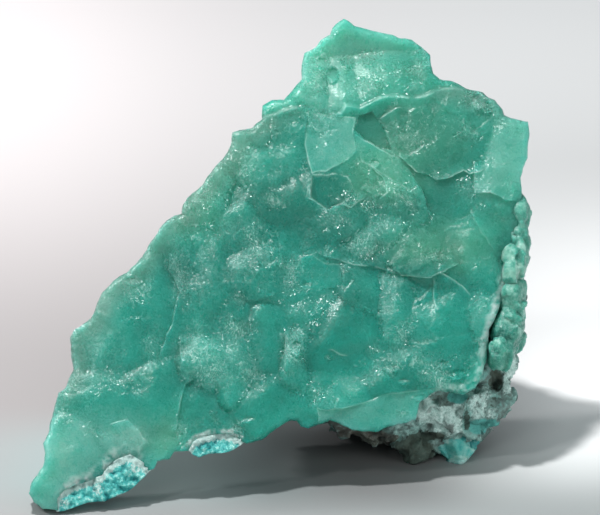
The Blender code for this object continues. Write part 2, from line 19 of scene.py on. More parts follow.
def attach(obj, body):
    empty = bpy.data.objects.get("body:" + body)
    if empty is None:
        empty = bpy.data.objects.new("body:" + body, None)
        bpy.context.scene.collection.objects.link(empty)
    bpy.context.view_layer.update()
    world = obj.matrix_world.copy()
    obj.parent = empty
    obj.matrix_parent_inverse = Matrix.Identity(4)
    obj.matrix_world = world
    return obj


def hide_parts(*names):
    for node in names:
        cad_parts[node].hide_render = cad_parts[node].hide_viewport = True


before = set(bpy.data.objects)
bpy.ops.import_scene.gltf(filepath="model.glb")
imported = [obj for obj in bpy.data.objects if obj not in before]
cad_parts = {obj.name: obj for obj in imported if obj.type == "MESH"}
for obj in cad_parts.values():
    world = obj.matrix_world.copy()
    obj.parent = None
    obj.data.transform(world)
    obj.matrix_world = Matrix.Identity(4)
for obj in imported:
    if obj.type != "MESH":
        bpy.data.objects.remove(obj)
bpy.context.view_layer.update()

MM = 0.001

# Stance of the leaning sheet, as in the model
SHEET_LEAN = 18.0
FLOOR_LIFT = -6.6
CENTRE_X = -4.0
CENTRE_Y = 13.8

# The camera looks square at the sheet
PHOTO_WIDTH_MM = 120.0
CAMERA_DISTANCE = 4000.0
PHOTO_CENTRE_V = 49.5
SENSOR_WIDTH = 36.0
PAPER_REACH = 2.5

# The crust's face plane and its thickness
FACE_DEPTH = -19.5
FACE_SLOPE_U = 0.155
FACE_SLOPE_V = 0.244
RIM_THICKNESS = 7.0
FULL_THICKNESS = 14.0
TAPER_WIDTH = 18.0
RIM_ROUNDING = 3.4
KNOB_SETBACK = 5.4
KNOB_THICKNESS = 10.0

# Rock: bulk behind the crust, the upright wall below the crust's lip, and the back foot
ROCK_CENTRE = (15.0, 41.0)
ROCK_REACH = (36.0, 38.0)
ROCK_BULK = 21.0
ROCK_RIM = 3.0
WALL_TOP_V = 22.0
WALL_TOP_DEPTH = -3.3
WALL_SLOPE = -0.47
FOOT_PLACE = (12.0, 18.0)
FOOT_RADIUS = 9.5
FOOT_DEPTH = 30.0
ROCK_LEDGES = 4.0

# Spacing of mesh points, in mm
FRONT_GRAIN = 0.30
BACK_GRAIN = 1.1
WALL_GRAIN = 0.5
ROCK_GRAIN = 0.48
ROCK_CORE_GRAIN = 1.6
ROCK_CORE_BACK_GRAIN = 2.6

# Random tables behind the reliefs: their rows, and what turns a cell into a row
TABLE_ROWS = 4096
HASH_PRIMES = (73856093, 19349663, 83492791)
FAR_AWAY = 1e9

# The room's light, and its lamps: name, place, size, power, whether they show as glints
ROOM_COLOUR = (0.86, 0.96, 1.0, 1.0)
ROOM_LIGHT = 0.28
LAMP_AIM = (0.0, 0.0, 0.04)
LAMPS = [
    ("overhead lamp", (-0.11, -0.06, 0.62), (0.05, 0.05), 3.8, True),
    ("lamp behind", (-0.50, 0.16, 0.36), (0.07, 0.07), 1.15, True),
    ("front lamp", (-0.42, -0.50, 0.62), (0.10, 0.10), 1.25, True),
    ("front fill", (-0.20, -0.80, 0.42), (0.30, 0.30), 1.15, False),
    ("low fill", (0.62, -0.55, 0.12), (0.30, 0.20), 2.4, False),
]

# The crust's outline on the sheet, clockwise from the left tip
LEFT_EDGE = [
    (-54, 2.6), (-53.2, 5), (-52, 6.6), (-51, 7.8), (-50.6, 10.6), (-51, 12.6),
    (-50, 14.6), (-49, 19.4), (-48, 22.4), (-46.8, 23.6), (-45.2, 27.2), (-45.6, 31),
    (-45.8, 33.6), (-44.8, 35.2), (-41.6, 37.4), (-40.4, 40.2), (-39.4, 42.4), (-37.2, 44.8),
    (-34, 47), (-31.4, 49.6), (-30.4, 51.6), (-29, 53.6), (-28, 55.4), (-26.6, 56.8),
    (-25, 57.8), (-23.6, 58.2), (-23.4, 60), (-22.6, 61.4), (-19.6, 64), (-17.4, 67),
    (-15.6, 69), (-14.4, 70.6), (-13.8, 72.4), (-13.4, 74.4), (-12, 75), (-9.6, 75.4),
    (-8.4, 76.6), (-7.6, 77.2),
]
KNOB_EDGE = [
    (-7.4, 79.8), (-5.6, 81), (-3.2, 81), (-1.6, 83), (0.2, 85.2), (0.2, 87),
    (0.6, 89), (1, 90.4), (3.2, 91.8), (4.2, 93.2), (6, 94.2), (6.4, 95.4),
    (8, 96.8), (8.8, 97.4), (9.6, 97), (10.8, 96), (14, 95.2), (18.6, 94.2),
    (20.4, 93.4), (22.4, 93.2), (24.6, 91.6), (26, 90), (26.6, 86.4), (28, 85.2),
    (30.4, 84.8), (33.4, 83.4),
]
RIGHT_EDGE = [
    (36.6, 82.6), (37.6, 81.6), (39, 81), (40.6, 79.2), (40.8, 78), (43.6, 77.2),
    (45.8, 76.8), (46, 74.4), (45.5, 71.6), (45.5, 69.4), (44.8, 67.6), (44.2, 65.4),
    (44.4, 60), (44, 55), (43.4, 51.6), (42.2, 48.4), (41.2, 45), (40.2, 41),
    (39, 37.4), (37.8, 35), (37.6, 32), (37.2, 29.4), (36.4, 26), (35, 23.4),
    (32.6, 22), (30, 22.6), (28, 23), (26, 22.2), (24, 20.6), (23, 17),
]
BOTTOM_EDGE = [
    (20, 16.2), (17.6, 15.8), (15.6, 14.8), (12.4, 14.8), (10, 15.4), (6, 17),
    (3.6, 16.2), (1.6, 15.3), (0.2, 15.8), (-0.6, 17), (-2, 17), (-4.2, 15.6),
    (-6, 14.6), (-7.6, 13.4), (-10.6, 12.4),
]
NICHE_OF_MIDDLE_RIND = [
    (-11.6, 12.8), (-12.4, 13.7), (-14.6, 14.4), (-17, 14.4), (-19.5, 13.8), (-21.2, 12.8),
    (-22, 11),
]
LOW_EDGE = [(-25, 10.8), (-26, 9.4), (-28.4, 9), (-29, 7.4)]
NICHE_OF_TIP_RIND = [
    (-30.2, 7.2), (-31.7, 8.7), (-34, 10), (-36.6, 9.2), (-38.6, 7.4), (-39.6, 6),
    (-41.7, 5.2), (-44.5, 4.4), (-47, 3.2), (-48.2, 1.6),
]
TIP_EDGE = [(-48.2, -0.7), (-51, -0.4), (-52.8, 0.8)]
CRUST_OUTLINE = (
    LEFT_EDGE + KNOB_EDGE + RIGHT_EDGE + BOTTOM_EDGE
    + NICHE_OF_MIDDLE_RIND + LOW_EDGE + NICHE_OF_TIP_RIND + TIP_EDGE
)

# The ledge in front of the knob, left to right; what is above it stands back
LEDGE = [
    (-9, 77), (-5, 78.2), (-3.4, 79), (-1.6, 79.6), (0, 79.8), (3, 79.6),
    (3.8, 78.4), (6, 77.6), (8.4, 78.8), (9, 80.2), (10.4, 80), (12, 79.6),
    (14.4, 80.8), (16, 81.6), (18, 82), (20, 82), (22.4, 81.6), (25, 82),
    (26.4, 82.8), (28, 83.4), (31, 83.6), (34, 82.8),
]
ABOVE_LEDGE = LEDGE + [(40, 100), (-20, 100)]

# Swollen lobes: centre u, v, half width, half height, how far they stand out, how pale
# they are (-1 deep green, 1 pale) and how frosted their skin is (0 glassy, 1 sparkling)
LOBES = [
    (-36, 37, 10, 11, 3, 0.1, 0.6), (-41, 21, 7.6, 5.8, 2.4, 0.1, 0.5),
    (-29, 20, 5.2, 7, 2.2, 0, 0.5), (-45, 11, 7, 6, 2.2, 0.3, 0.4),
    (-52, 4, 4, 4, 1.6, 0.6, 0.3), (-34.5, 14.5, 4.6, 3.4, 1.6, 0.4, 0.4),
    (-27.4, 53.4, 4, 4, 2.2, 0.2, 1), (-20.4, 60.4, 4, 4, 2.2, 0.2, 1),
    (-17, 65.4, 2.4, 2.4, 1.4, 0.4, 0.8), (-12, 72.6, 2.6, 2.2, 1.4, 0.6, 0.4),
    (-7.6, 75.4, 2.8, 2.4, 1.4, 0.1, 0.8), (-19, 47.4, 6.6, 7.6, 2.8, 0, 0.9),
    (-7.6, 46, 5.6, 5, 2.4, 0, 0.8), (-11, 54.6, 4.8, 4.8, 2, 0.1, 1),
    (-4, 61, 8, 4.2, 1.8, -0.2, 0.5), (-7, 68, 5.6, 4.6, 2, 0.1, 0.6),
    (-20, 38.6, 3.8, 3.6, 1.8, 0, 0.6), (-19, 29.6, 4.8, 5, 2.6, 0.2, 1),
    (-12.6, 29.6, 3.2, 7, 2.3, 0.1, 0.9), (-1, 29.8, 2.8, 6, 2.3, 0.1, 1),
    (-6.4, 33, 3.2, 6, 1.9, 0, 0.5), (7.6, 32.4, 6.4, 6, 2.2, -0.2, 0.1),
    (19.4, 37.4, 3.8, 6.6, 2, 0, 0.9), (30, 34.6, 5.4, 5.6, 2, 0, 0.5),
    (36.2, 36, 3, 4.4, 1.6, 0.2, 0.9), (27.4, 27, 5.6, 3.8, 2.2, 0, 1),
    (13, 42.4, 4.4, 3.6, 1.6, -0.1, 0.7), (25, 50.4, 7.6, 4.8, 2.2, -0.1, 0.3),
    (34.4, 53, 4, 5, 1.8, 0.1, 0.5), (4.4, 56, 6, 4.2, 1.5, -0.3, 0.3),
    (26.8, 74, 9.4, 8.4, 2.5, -0.2, 0.2), (14.4, 53.4, 5, 4, 1.7, 0, 1),
    (-7, 21, 5.4, 6, 2, 0.1, 0.4), (6, 23.4, 8, 4.2, 1.6, 0, 0.4),
    (17, 25.6, 6, 4, 1.6, -0.2, 0.3), (39.6, 71, 5.6, 9, 1.4, 0.6, 0.4),
    (36.6, 45, 3.6, 4.4, 1.6, 0.1, 0.6), (-12.6, 38.6, 4, 3.6, 1.5, 0, 0.5),
    (19.6, 60, 5.6, 4, 1.4, 0, 0.7), (13, 89, 12, 8, 1.3, 0.3, 0.1),
    (3.6, 86, 3, 3, 1.6, 0.3, 0.5), (24, 88, 3.4, 3.4, 1.8, 0.1, 0.5),
    (-4, 80, 3.2, 1.6, 1.2, 0.3, 0.5), (33, 61, 4.4, 3.4, 1.4, -0.2, 0.6),
    (2, 38.4, 4.4, 3.4, 1.4, 0, 0.7),
]
# How far past its half widths a lobe reaches, and how much of its height it keeps
LOBE_SPREAD = 1.3
LOBE_SHARE = 0.65
LOBE_TILT = 0.13

# Chips broken out of the crust: outline, height above the face plane at the middle,
# slopes to the right and upwards, hollow of the middle, paleness (on the pale lip partly
# painted light), frost, brightness of the feather edge's line, partly painted highlight
CHIPS = {
    "pale plate": ([(1.6, 79), (8, 77.6), (11.4, 77.4), (10.6, 74.6), (11, 71),
                    (9.4, 69), (7.4, 67.6), (5, 66.8), (2.2, 66.4), (1, 72)],
                   0.25, 0.03, -0.05, 0.2, 0.75, 0.3, 0.8),
    "rimmed pit": ([(2.2, 66), (6.4, 66.2), (9.2, 65.8), (10.6, 63), (10, 61.4),
                    (7.6, 60), (5.6, 59.2), (3.6, 60.2), (2.2, 61.6)],
                   -0.2, -0.03, 0.05, 0.3, -0.2, 0.1, 0.9),
    "long slab": ([(11, 74), (15, 72), (19.6, 69.4), (23.2, 66.6), (24.4, 64.4),
                   (22.4, 63), (19.6, 64.2), (16, 66.6), (12.4, 69), (11.2, 71)],
                  0.15, 0.03, -0.02, 0.15, 0.55, 0.2, 0.7),
    "deep notch": ([(11, 75), (12, 77.8), (14.4, 78.6), (16.4, 76), (18.4, 71),
                    (15.6, 71.8), (13.2, 73)],
                   -0.5, 0.03, 0.05, 0.2, -0.7, 0, 0),
    "flat under the dome": ([(20, 69.4), (23, 67), (27, 65.2), (30.4, 65.4),
                             (32.6, 66.8), (34, 66), (35, 62), (34, 58),
                             (30, 57), (25.6, 59), (24.4, 63)],
                            -0.15, 0, 0.03, 0.1, -0.3, 0.2, 0),
    "facet with a pale end": ([(0, 49.6), (2.4, 50.2), (5, 48.6), (8, 48),
                               (8.4, 44), (6, 43.4), (2, 43), (-1.6, 43.2),
                               (-1, 47)],
                              0.1, 0.05, -0.03, 0.1, 0.2, 0.15, 0.4),
    "pale lip": ([(3.6, 19.4), (8, 19.2), (12, 20.4), (18, 22.4), (25, 23.4),
                  (29, 23.8), (30, 18), (24, 10), (4, 10)],
                 -0.5, 0, 0.12, 0, 0.55, 0.3, 0.5),
}
CHIP_EDGE = 0.12
CHIP_WANDER = 0.3
CREASE_STEP = 0.26
CREASE_OFFSETS = (-0.22, -0.07, 0.07, 0.22)

# Bright line along a broken edge, partly pale feather edge and partly painted highlight:
# how far on its raised side, and how wide
LINE_INSET = 0.05
LINE_WIDTH = 0.13

# Edges where one thin scale of the crust laps over another: course, how far the side on
# its left stands up (below zero: the side on its right), brightness of its line, partly
# painted highlight
SCALE_EDGES = [
    ([(15.8, 77), (17.6, 78.6), (19, 79.4), (20.6, 79.4)], -0.5, 0.9),
    ([(20, 71), (19.8, 69.6), (23, 67), (25, 65.8), (27, 65.2), (30.4, 65.4),
      (32.6, 66.8), (34, 66), (37, 67.4)], 0.9, 0.9),
    ([(34.8, 62.4), (38, 62.6), (41, 61), (44, 61)], 0.8, 0.6),
    ([(34.8, 69), (34.8, 62)], 0.6, 0.4),
    ([(4, 50), (10, 48.2), (16, 47.6), (20, 45.8)], 0.5, 0.6),
    ([(17, 48.6), (20, 45.8), (26, 45.4), (32, 48.6)], 0.6, 0.6),
    ([(26.4, 45.8), (27.2, 38)], 0.4, 0.9),
    ([(26.4, 45.8), (28, 46.6), (32.4, 44), (34.4, 41.6)], -0.4, 0.6),
    ([(-23.8, 34.4), (-24, 30), (-23.6, 26)], 0.5, 0.3),
    ([(-20.8, 25.2), (-22.8, 24.2), (-23.8, 20.6), (-24.8, 14)], -0.6, 0.4),
    ([(-38, 16), (-34.4, 17.4), (-32, 15), (-30, 11.6)], -0.6, 0.5),
    ([(5.2, 30.6), (6.6, 31), (8, 30.2), (10, 29.8)], 0.12, 0.7),
    ([(-26, 50.6), (-26.2, 47), (-24, 42.6), (-25.6, 36), (-28.4, 29)], 0.5, 0.1),
    ([(-3, 35.6), (-2.8, 31), (-3, 26.4)], 0.6, 0.5),
    ([(-2, 43), (4, 43.4), (8.4, 44.4)], 0.4, 0.6),
    ([(1, 61.8), (3.8, 60.4), (6, 61.2), (10, 59.6), (13.6, 62)], 0.4, 0.7),
    ([(13.4, 68), (16.6, 65.6), (17.6, 62.6), (15, 60.4)], 0.4, 0.7),
    ([(33.6, 59), (36, 55), (39.6, 50)], 0.3, 0.2),
    ([(-14, 41.6), (-8, 41), (-3.4, 43)], 0.25, 0.2),
]
SCALE_REACH = 2.6

# Small nicks that catch the overhead light: centre, half width, half height
NICKS = [
    (18.2, 27.6, 1.5, 0.8), (-12.6, 15.4, 0.9, 0.7), (17.8, 47.2, 1.2, 0.7),
    (35.6, 80.8, 1.3, 1.4), (37.4, 79.6, 1.1, 1.1), (31.4, 26.2, 1.6, 1),
    (28.6, 28.2, 1.4, 0.8), (-10.4, 17.2, 1.3, 0.6), (9.6, 59, 0.6, 0.5),
    (14.8, 68.2, 1, 0.9), (4.4, 88.4, 1.4, 1.1), (6.6, 85.8, 1, 1.6),
    (-0.6, 31.4, 0.9, 1.5), (20.6, 24.8, 1.3, 0.6), (-20.6, 64.6, 1, 1),
    (1.2, 43.8, 1, 0.7), (-33.4, 44.8, 1.4, 0.8), (24, 21.6, 1.6, 0.6),
]
NICK_SLOPE = 0.68

# Courses of chalky white skin on the crust and how wide each is
CHALK_COURSES = [
    ([(42.6, 50), (41.4, 46), (40.2, 42), (38.5, 37), (37.4, 33), (36.8, 29), (35.4, 25),
      (32.8, 22.9), (28.4, 23)], 1.3),
    ([(-47.4, 2.6), (-44.4, 4.9), (-41.6, 6.2), (-39, 8), (-36.4, 10.6), (-33.4, 11.2),
      (-31, 9.4)], 1.2),
    ([(-22.4, 12), (-20.4, 14), (-17, 15), (-14, 14.9), (-11.4, 13.6)], 0.6),
]

# Where the crust is crazed with fine bright cracks: centre, half width, half height
CRAZED = [
    (14, 66, 13, 8), (-6, 76, 9, 4), (22, 50, 9, 4),
    (0, 46, 10, 5), (26, 76, 8, 5), (2, 92, 8, 5),
]

# Places where fine crystals sparkle, with more relief and painted glints: centre, half
# width, half height, how much
SPARKLING = [
    (3.4, 85, 1.6, 1.6, 0.9), (9.6, 88.6, 0.9, 0.9, 0.5), (13.6, 89.8, 1.2, 1, 0.5),
    (14.4, 83.8, 1.6, 1.2, 0.4), (23, 87.4, 2.4, 1.3, 0.5), (24.8, 91, 1.2, 2.2, 0.3),
    (35.8, 80.8, 1.6, 1.8, 0.9), (3, 78.2, 3.4, 1.2, 0.6), (4, 75, 1.5, 1.4, 0.4),
    (21.6, 73, 3.5, 2.6, 0.35), (34, 74.6, 1.6, 1.6, 0.4), (21, 61.4, 1.8, 1.6, 0.7),
    (14.4, 60, 1.6, 1, 0.7), (8.6, 61.4, 1.6, 1.2, 0.7), (35, 63, 3, 2, 0.3),
    (-5.2, 61.2, 1.6, 1.2, 0.5), (13, 52, 3, 3, 0.6), (18, 47, 0.8, 0.8, 0.9),
    (27.6, 49.8, 2.4, 1.4, 0.5), (-9.4, 52.6, 2.2, 3, 0.8), (-24.4, 47, 1.4, 4.5, 0.6),
    (-33, 43.6, 2.4, 2.8, 0.4), (-2, 46.4, 1.4, 3, 0.8), (-12, 41.4, 1.6, 0.8, 0.5),
    (-12.8, 35.4, 2.6, 1.6, 1), (-17.6, 27.4, 2.4, 2.8, 0.8), (-22.4, 32.6, 1.6, 2.6, 0.35),
    (-10.4, 26.4, 2, 3, 0.6), (-1.6, 31, 1.6, 3, 0.7), (-0.6, 28.8, 0.8, 1, 1),
    (-41, 15, 1.6, 1, 0.5), (-29, 32, 2, 3, 0.3), (-34, 26, 1.6, 1.4, 0.4),
    (-23.6, 15.4, 1, 1.8, 0.6), (-12.2, 15.6, 1, 1.2, 0.9), (-16.8, 17.6, 0.8, 0.9, 0.6),
    (18.2, 27.8, 1.3, 0.8, 1), (27.6, 25.6, 2, 1.8, 1), (23.6, 28.8, 1, 0.9, 0.7),
    (20.4, 33.4, 1.8, 2, 0.6), (14.8, 31.6, 1.4, 1.4, 0.5), (35.6, 33, 0.6, 0.7, 0.9),
    (20, 18.8, 1, 0.5, 0.9), (3, 22.8, 1.4, 1, 0.6), (6, 30, 0.6, 0.4, 0.7),
    (-46, 26, 1.6, 2.4, 0.3), (-20, 60.6, 2.6, 2, 0.4), (-12, 66, 3, 2, 0.4),
    (-20.4, 30.4, 3.4, 4.6, 0.55), (7.4, 57, 3, 2, 0.35), (-40, 30, 4, 6, 0.2),
]

# Broad differences in colour, partly the crust's own tone and partly painted light and
# shade: centre, half width, half height, how pale, how mossy
PATCHES = [
    (13, 90, 18, 10, 0.7, 0.2), (40, 72, 9, 13, 0.65, 0),
    (-36, 37, 9, 9, 0.35, 0), (-12, 72, 4, 3, 0.6, 0),
    (-10, 50, 7, 6, -0.15, 0), (11, 28, 7, 6, 0.5, 0),
    (9, 93, 7, 4, 0.5, 0),
    (14, 80, 50, 24, 0, 0.4), (20, 34, 30, 16, 0.1, -0.4),
    (24.6, 50.6, 11, 6, -0.3, 0.7), (36, 50, 8, 8, 0, 0.4),
    (-50, 6, 10, 10, 0.75, 0.2), (-36, 13, 12, 8, 0.7, 0.1),
    (-26.6, 14, 4, 5, 0.2, 0.7), (14, 17, 18, 5, 0.5, -0.3),
    (-18, 68, 8, 8, 0.2, 0.5), (6, 72, 8, 8, 0.2, -0.2),
    (16, 66, 7, 6, 0.3, 0.7), (16, 87, 9, 4, -0.7, 0), (26, 72, 10, 9, -0.35, 0.2),
    (15, 76, 5, 5, -0.5, 0), (0, 60, 16, 6, -0.5, 0),
    (9, 32, 9, 9, -0.1, -0.2), (-16, 20, 10, 8, 0.1, 0.1),
    (-28, 38, 5, 12, -0.3, 0), (-44, 34, 7, 12, 0.3, 0),
    (41, 61, 4, 6, -0.3, 0.3), (36, 30, 6, 10, 0.35, -0.3),
    (4, 90, 5, 5, 0.2, 0.1), (-22, 58, 8, 6, 0.15, 0.5),
]

# Outlines of the two rinds and of the rock, on the same sheet
TIP_RIND_OUTLINE = [
    (-48.2, 1.6), (-46.8, 3.2), (-44.4, 4.5), (-41.6, 5.3), (-39.4, 6.1), (-38.4, 7.5),
    (-36.4, 9.3), (-34, 10.1), (-31.6, 8.7), (-30, 7.1), (-31.4, 5.6), (-33, 4.2),
    (-34.4, 3), (-38.8, 1.2), (-42.2, 0.9), (-44.4, 0.1), (-46.2, -0.7), (-48, -0.7),
]
MIDDLE_RIND_OUTLINE = [
    (-22, 11.2), (-21.2, 12.8), (-19.5, 13.8), (-17, 14.4), (-14.6, 14.4), (-12.4, 13.7),
    (-11.4, 12.7), (-13.4, 11.2), (-15.4, 10.6), (-18, 10.6), (-20, 9.8), (-21.4, 10.4),
]
RIND_GROWTH = 1.04
RIND_GRAIN = 0.35
RIND_BACK_GRAIN = 0.6

# Where white skin crosses the rinds: centre, half width, half height
RIND_SKIN = [(-40.2, 3.6, 1.4, 2), (-33, 7.4, 2, 1.2), (-46.6, 0.6, 1.2, 1.4)]
ROCK_OUTLINE = [
    (6, 16.4), (8.4, 13.6), (11, 14), (13.4, 13), (16.6, 12.2), (19, 12),
    (20, 10.6), (21.6, 8.8), (24.6, 7.6), (26.6, 8.8), (29, 11), (33, 12),
    (38.2, 14.8), (39.8, 16.6), (41.4, 18), (41.6, 20), (42.4, 22), (42, 25),
    (43.4, 27.6), (43, 31.6), (43.4, 36), (44.2, 38.4), (44.2, 41), (43.4, 45),
    (44.6, 50), (44.6, 55), (45.4, 57), (45.6, 60), (44.4, 61.8), (41, 64),
    (37, 67.6), (30, 70.4), (20, 71), (8, 68.4), (-2, 64), (-12, 54),
    (-20, 43), (-24, 32), (-22, 23), (-14, 18.6), (-4, 19),
]

# Lumps and pits of the rock's front: centre, half width, half height, height or depth
ROCK_LUMPS = [
    (28, 18.6, 5.4, 3.8, 2.2), (34.8, 20, 3.2, 4.6, 2.4), (40.6, 27.4, 2.4, 5, 1.6),
    (22.6, 10.8, 3.6, 2.6, 1.6), (12, 14.8, 7, 2.2, 1), (17.6, 13.6, 3, 1.8, 1.2),
    (38.6, 17.8, 2.6, 2.4, 1.6),
]
ROCK_PITS = [(39.4, 24.6, 2, 2.4, 2.4), (27.4, 21.8, 1.6, 1.2, 1.6), (24.6, 13.6, 2, 1.2, 1.4)]

# How white, teal, dark and rusty the rock is anywhere, and patches on its front: centre,
# half width, half height, then the same four shares; the dark share is partly the rock's
# own colour and partly painted shade at its pits
ROCK_SHARES = (0.28, 0.22, 0.15, 0.12)
ROCK_PATCHES = [
    (27.6, 18.2, 5.6, 4.4, 0.8, 0.1, 0, 0), (35.6, 19.6, 3.6, 4, 0.55, 0.3, 0, 0),
    (28.6, 21.2, 2.4, 1.4, 0.2, 0, 0.5, 0), (33.2, 22, 0.9, 1.8, 0, 0.3, 0.9, 0),
    (41.4, 27.6, 1.8, 5, 0.9, 0.1, 0, 0), (39.2, 25, 1.5, 2.4, 0, 0.1, 0.7, 0.2),
    (31.4, 21.6, 2, 1.2, 0, 1, 0, 0), (39.4, 31, 1.6, 2.2, 0.2, 0.9, 0, 0),
    (36.8, 15.6, 4, 1.5, 0, 1, 0, 0), (9, 15.4, 6, 1.8, 0.3, 0, 0.2, 0.9),
    (15, 13.4, 5, 1.8, 0.1, 0, 0.5, 0.8), (22.6, 10.4, 4.4, 3, 0.2, 0, 0.8, 0.1),
    (21, 15.6, 4.6, 1.5, 0.5, 0.5, 0, 0), (25.4, 13.8, 3.6, 0.8, 0, 0, 0.9, 0),
    (43, 36, 2, 4, 0.3, 0.7, 0, 0), (34, 25, 2.2, 3, 0.5, 0.4, 0, 0),
    (33.4, 17, 0.7, 2.4, 0, 0.7, 0.7, 0), (38.6, 20.6, 1, 1.2, 0, 0.3, 0.5, 0),
]

# Small rounded bodies: centre u and v, how deep behind the rock's front, and radii
KNOB_BALLS = [
    (31.2, 11.6, 2.6, 3.4, 4.3, 4.2), (34.2, 13.9, 2.8, 3.6, 2.8, 3.6),
    (28.2, 13.4, 2.6, 3, 2, 2.8), (31.6, 9, 3, 2.2, 2.2, 2.8),
    (37, 15.6, 3.2, 3, 1.8, 3),
]

# The edge lobes stand 8 to 11 mm further forward than their solid, to show beside the
# crust's rim: an open fault
EDGE_BALLS = [
    (42.5, 47.2, -4.4, 2.3, 4, 3.6), (42.3, 41.2, -4.6, 2.8, 5.4, 3.8),
    (41.4, 34.8, -4.6, 2.9, 5.2, 3.8), (43.6, 51.6, -2.2, 1.8, 5, 3.4),
    (44, 57.6, -2, 1.8, 5.8, 3.4), (40, 30.4, -3.8, 2.3, 3.6, 3.2),
    (42.4, 44, -2, 2.1, 2.8, 4), (42.2, 37.6, 2.4, 2.3, 3.4, 4),
    (42.8, 43.4, 3.6, 2.1, 3.2, 4.2), (43, 33, 1.4, 2, 2.4, 3.4),
    (43.4, 52.6, 3.2, 2, 3.4, 3.6), (42.6, 47.8, 6.6, 1.9, 2.8, 3.2),
]
LUMP_SMOOTHING = 30
LUMP_GRAIN = 0.35
BALL_SINK = 2.0

# How light each rounded body is, 0 deep to 1 light
EDGE_TONES = [0.7, 0.45, 0.15, 0.35, 0.4, 0.3, 0.35, 0.3, 0.4, 0.2, 0.35, 0.4]

# Flat faces that make the turquoise knob a wedge: a point on each, and its way out
KNOB_FACES = [
    ((34.4, 11, 0), (0.74, -0.67, 0)), ((28.6, 10.4, 0), (-0.80, -0.60, 0)),
    ((33, 12, -0.6), (0.50, 0.10, -0.86)), ((30.4, 12, -0.4), (-0.45, -0.25, -0.86)),
]
KNOB_TONES = [0.45, 0.15, 0.75, 0.9, 0.2]


def smooth(t):
    """Rises from 0 to 1 with level ends."""
    t = np.clip(t, 0.0, 1.0)
    return t * t * (3.0 - 2.0 * t)


def to_world(u, v, w):
    """Turns points on the leaning sheet upright, in metres, over the origin."""
    lean = radians(SHEET_LEAN)
    x = u - CENTRE_X
    y = w * cos(lean) + v * sin(lean) - CENTRE_Y
    z = v * cos(lean) - w * sin(lean) + FLOOR_LIFT
    return np.stack([x, y, z], axis=1) * MM


def table_row(cells):
    """A row of the random table, picked for each whole-number cell."""
    x, y, z = cells.T
    return (x * HASH_PRIMES[0] ^ y * HASH_PRIMES[1] ^ z * HASH_PRIMES[2]) % TABLE_ROWS


def relief(points, cell, seed):
    """Smooth random heights from -1 to 1 whose bumps are about one cell wide."""
    table = np.random.default_rng(seed).uniform(-1.0, 1.0, TABLE_ROWS)
    scaled = points / cell
    corner = np.floor(scaled).astype(np.int64)
    part = smooth(scaled - corner)
    total = np.zeros(len(points))
    for step in product((0, 1), repeat=3):
        weight = np.where(np.array(step) == 1, part, 1.0 - part).prod(axis=1)
        total += weight * table[table_row(corner + np.array(step))]
    return total


def cells_around(points, cell, seed, values):
    """For each cell near the points: how far its random middle is, and its own values."""
    table = np.random.default_rng(seed).uniform(0.0, 1.0, (TABLE_ROWS, 3 + values))
    scaled = points / cell
    corner = np.floor(scaled).astype(np.int64)
    for step in product((-1, 0, 1), repeat=3):
        at = corner + np.array(step)
        own = table[table_row(at)]
        yield scaled - at - own[:, :3], own[:, 3:]


def grains(points, cell, seed):
    """Rounded grains about one cell wide: 1 at a grain's middle, 0 in the creases."""
    nearest = np.ones(len(points))
    for offset, _ in cells_around(points, cell, seed, 0):
        nearest = np.minimum(nearest, (offset ** 2).sum(axis=1))
    return 1.0 - nearest


def facets(points, cell, tilt, seed):
    """Flat broken faces about one cell wide, each tilted its own way."""
    nearest = np.full(len(points), FAR_AWAY)
    height = np.zeros(len(points))
    for offset, way in cells_around(points, cell, seed, 3):
        away = (offset ** 2).sum(axis=1)
        height = np.where(away < nearest, (offset * (way - 0.5)).sum(axis=1), height)
        nearest = np.minimum(nearest, away)
    return height * 2.0 * tilt * cell


def depth_inside(u, v, outline):
    """Distance to a closed outline, positive inside it and negative outside."""
    ring = np.array(outline)
    nearest = np.full(u.shape, FAR_AWAY)
    inside = np.zeros(u.shape, bool)
    for (au, av), (bu, bv) in zip(ring, np.roll(ring, -1, axis=0)):
        du, dv = bu - au, bv - av
        t = np.clip(((u - au) * du + (v - av) * dv) / (du * du + dv * dv), 0.0, 1.0)
        nearest = np.minimum(nearest, np.hypot(u - au - t * du, v - av - t * dv))
        crosses = (av > v) != (bv > v)
        if dv:
            inside ^= crosses & (u < au + (v - av) * du / dv)
    return np.where(inside, nearest, -nearest)


def ellipse(u, v, cu, cv, ru, rv):
    """0 at the middle of an ellipse, 1 on its line and more outside it."""
    return ((u - cu) / ru) ** 2 + ((v - cv) / rv) ** 2


def spot(u, v, cu, cv, ru, rv):
    """1 at the middle of a round place, fading to 0 around it."""
    return np.exp(-ellipse(u, v, cu, cv, ru, rv))


def caps(u, v, centres):
    """Rounded caps that meet in creases: the highest one wins."""
    height = np.zeros(u.shape)
    for cu, cv, ru, rv, rise in centres:
        out = ellipse(u, v, cu, cv, ru * LOBE_SPREAD, rv * LOBE_SPREAD)
        height = np.maximum(height, rise * (1.0 - out))
    return height


def rounded_rim(depth, width, fall):
    """How far a rounded rim falls away: all of it at the outline, 0 past its width."""
    inwards = np.clip(depth / width, 0.0, 1.0)
    return fall * (1.0 - np.sqrt(1.0 - (1.0 - inwards) ** 2))


def ledges(height, step):
    """Breaks an even slope into treads and risers."""
    level = np.floor(height / step)
    return step * (level + smooth((height / step - level) * 1.8 - 0.4))


def face_plane(u, v):
    """Depth of the even plane that the crust's face follows."""
    return FACE_DEPTH + FACE_SLOPE_U * u + FACE_SLOPE_V * v


def behind_ledge(u, v, width):
    """1 on the knob behind the ledge, 0 on the crust in front of it."""
    return smooth(depth_inside(u, v, ABOVE_LEDGE) / width + 0.5)


def flat(u, v):
    """Points of the sheet with no depth, for the reliefs."""
    return np.stack([u, v, np.zeros(u.shape)], axis=1)


def wandering(u, v, reach, cell, seed):
    """Points moved a little, so that drawn shapes get natural uneven outlines."""
    at = flat(u, v)
    return u + reach * relief(at, cell, seed), v + reach * relief(at, cell, seed + 1)


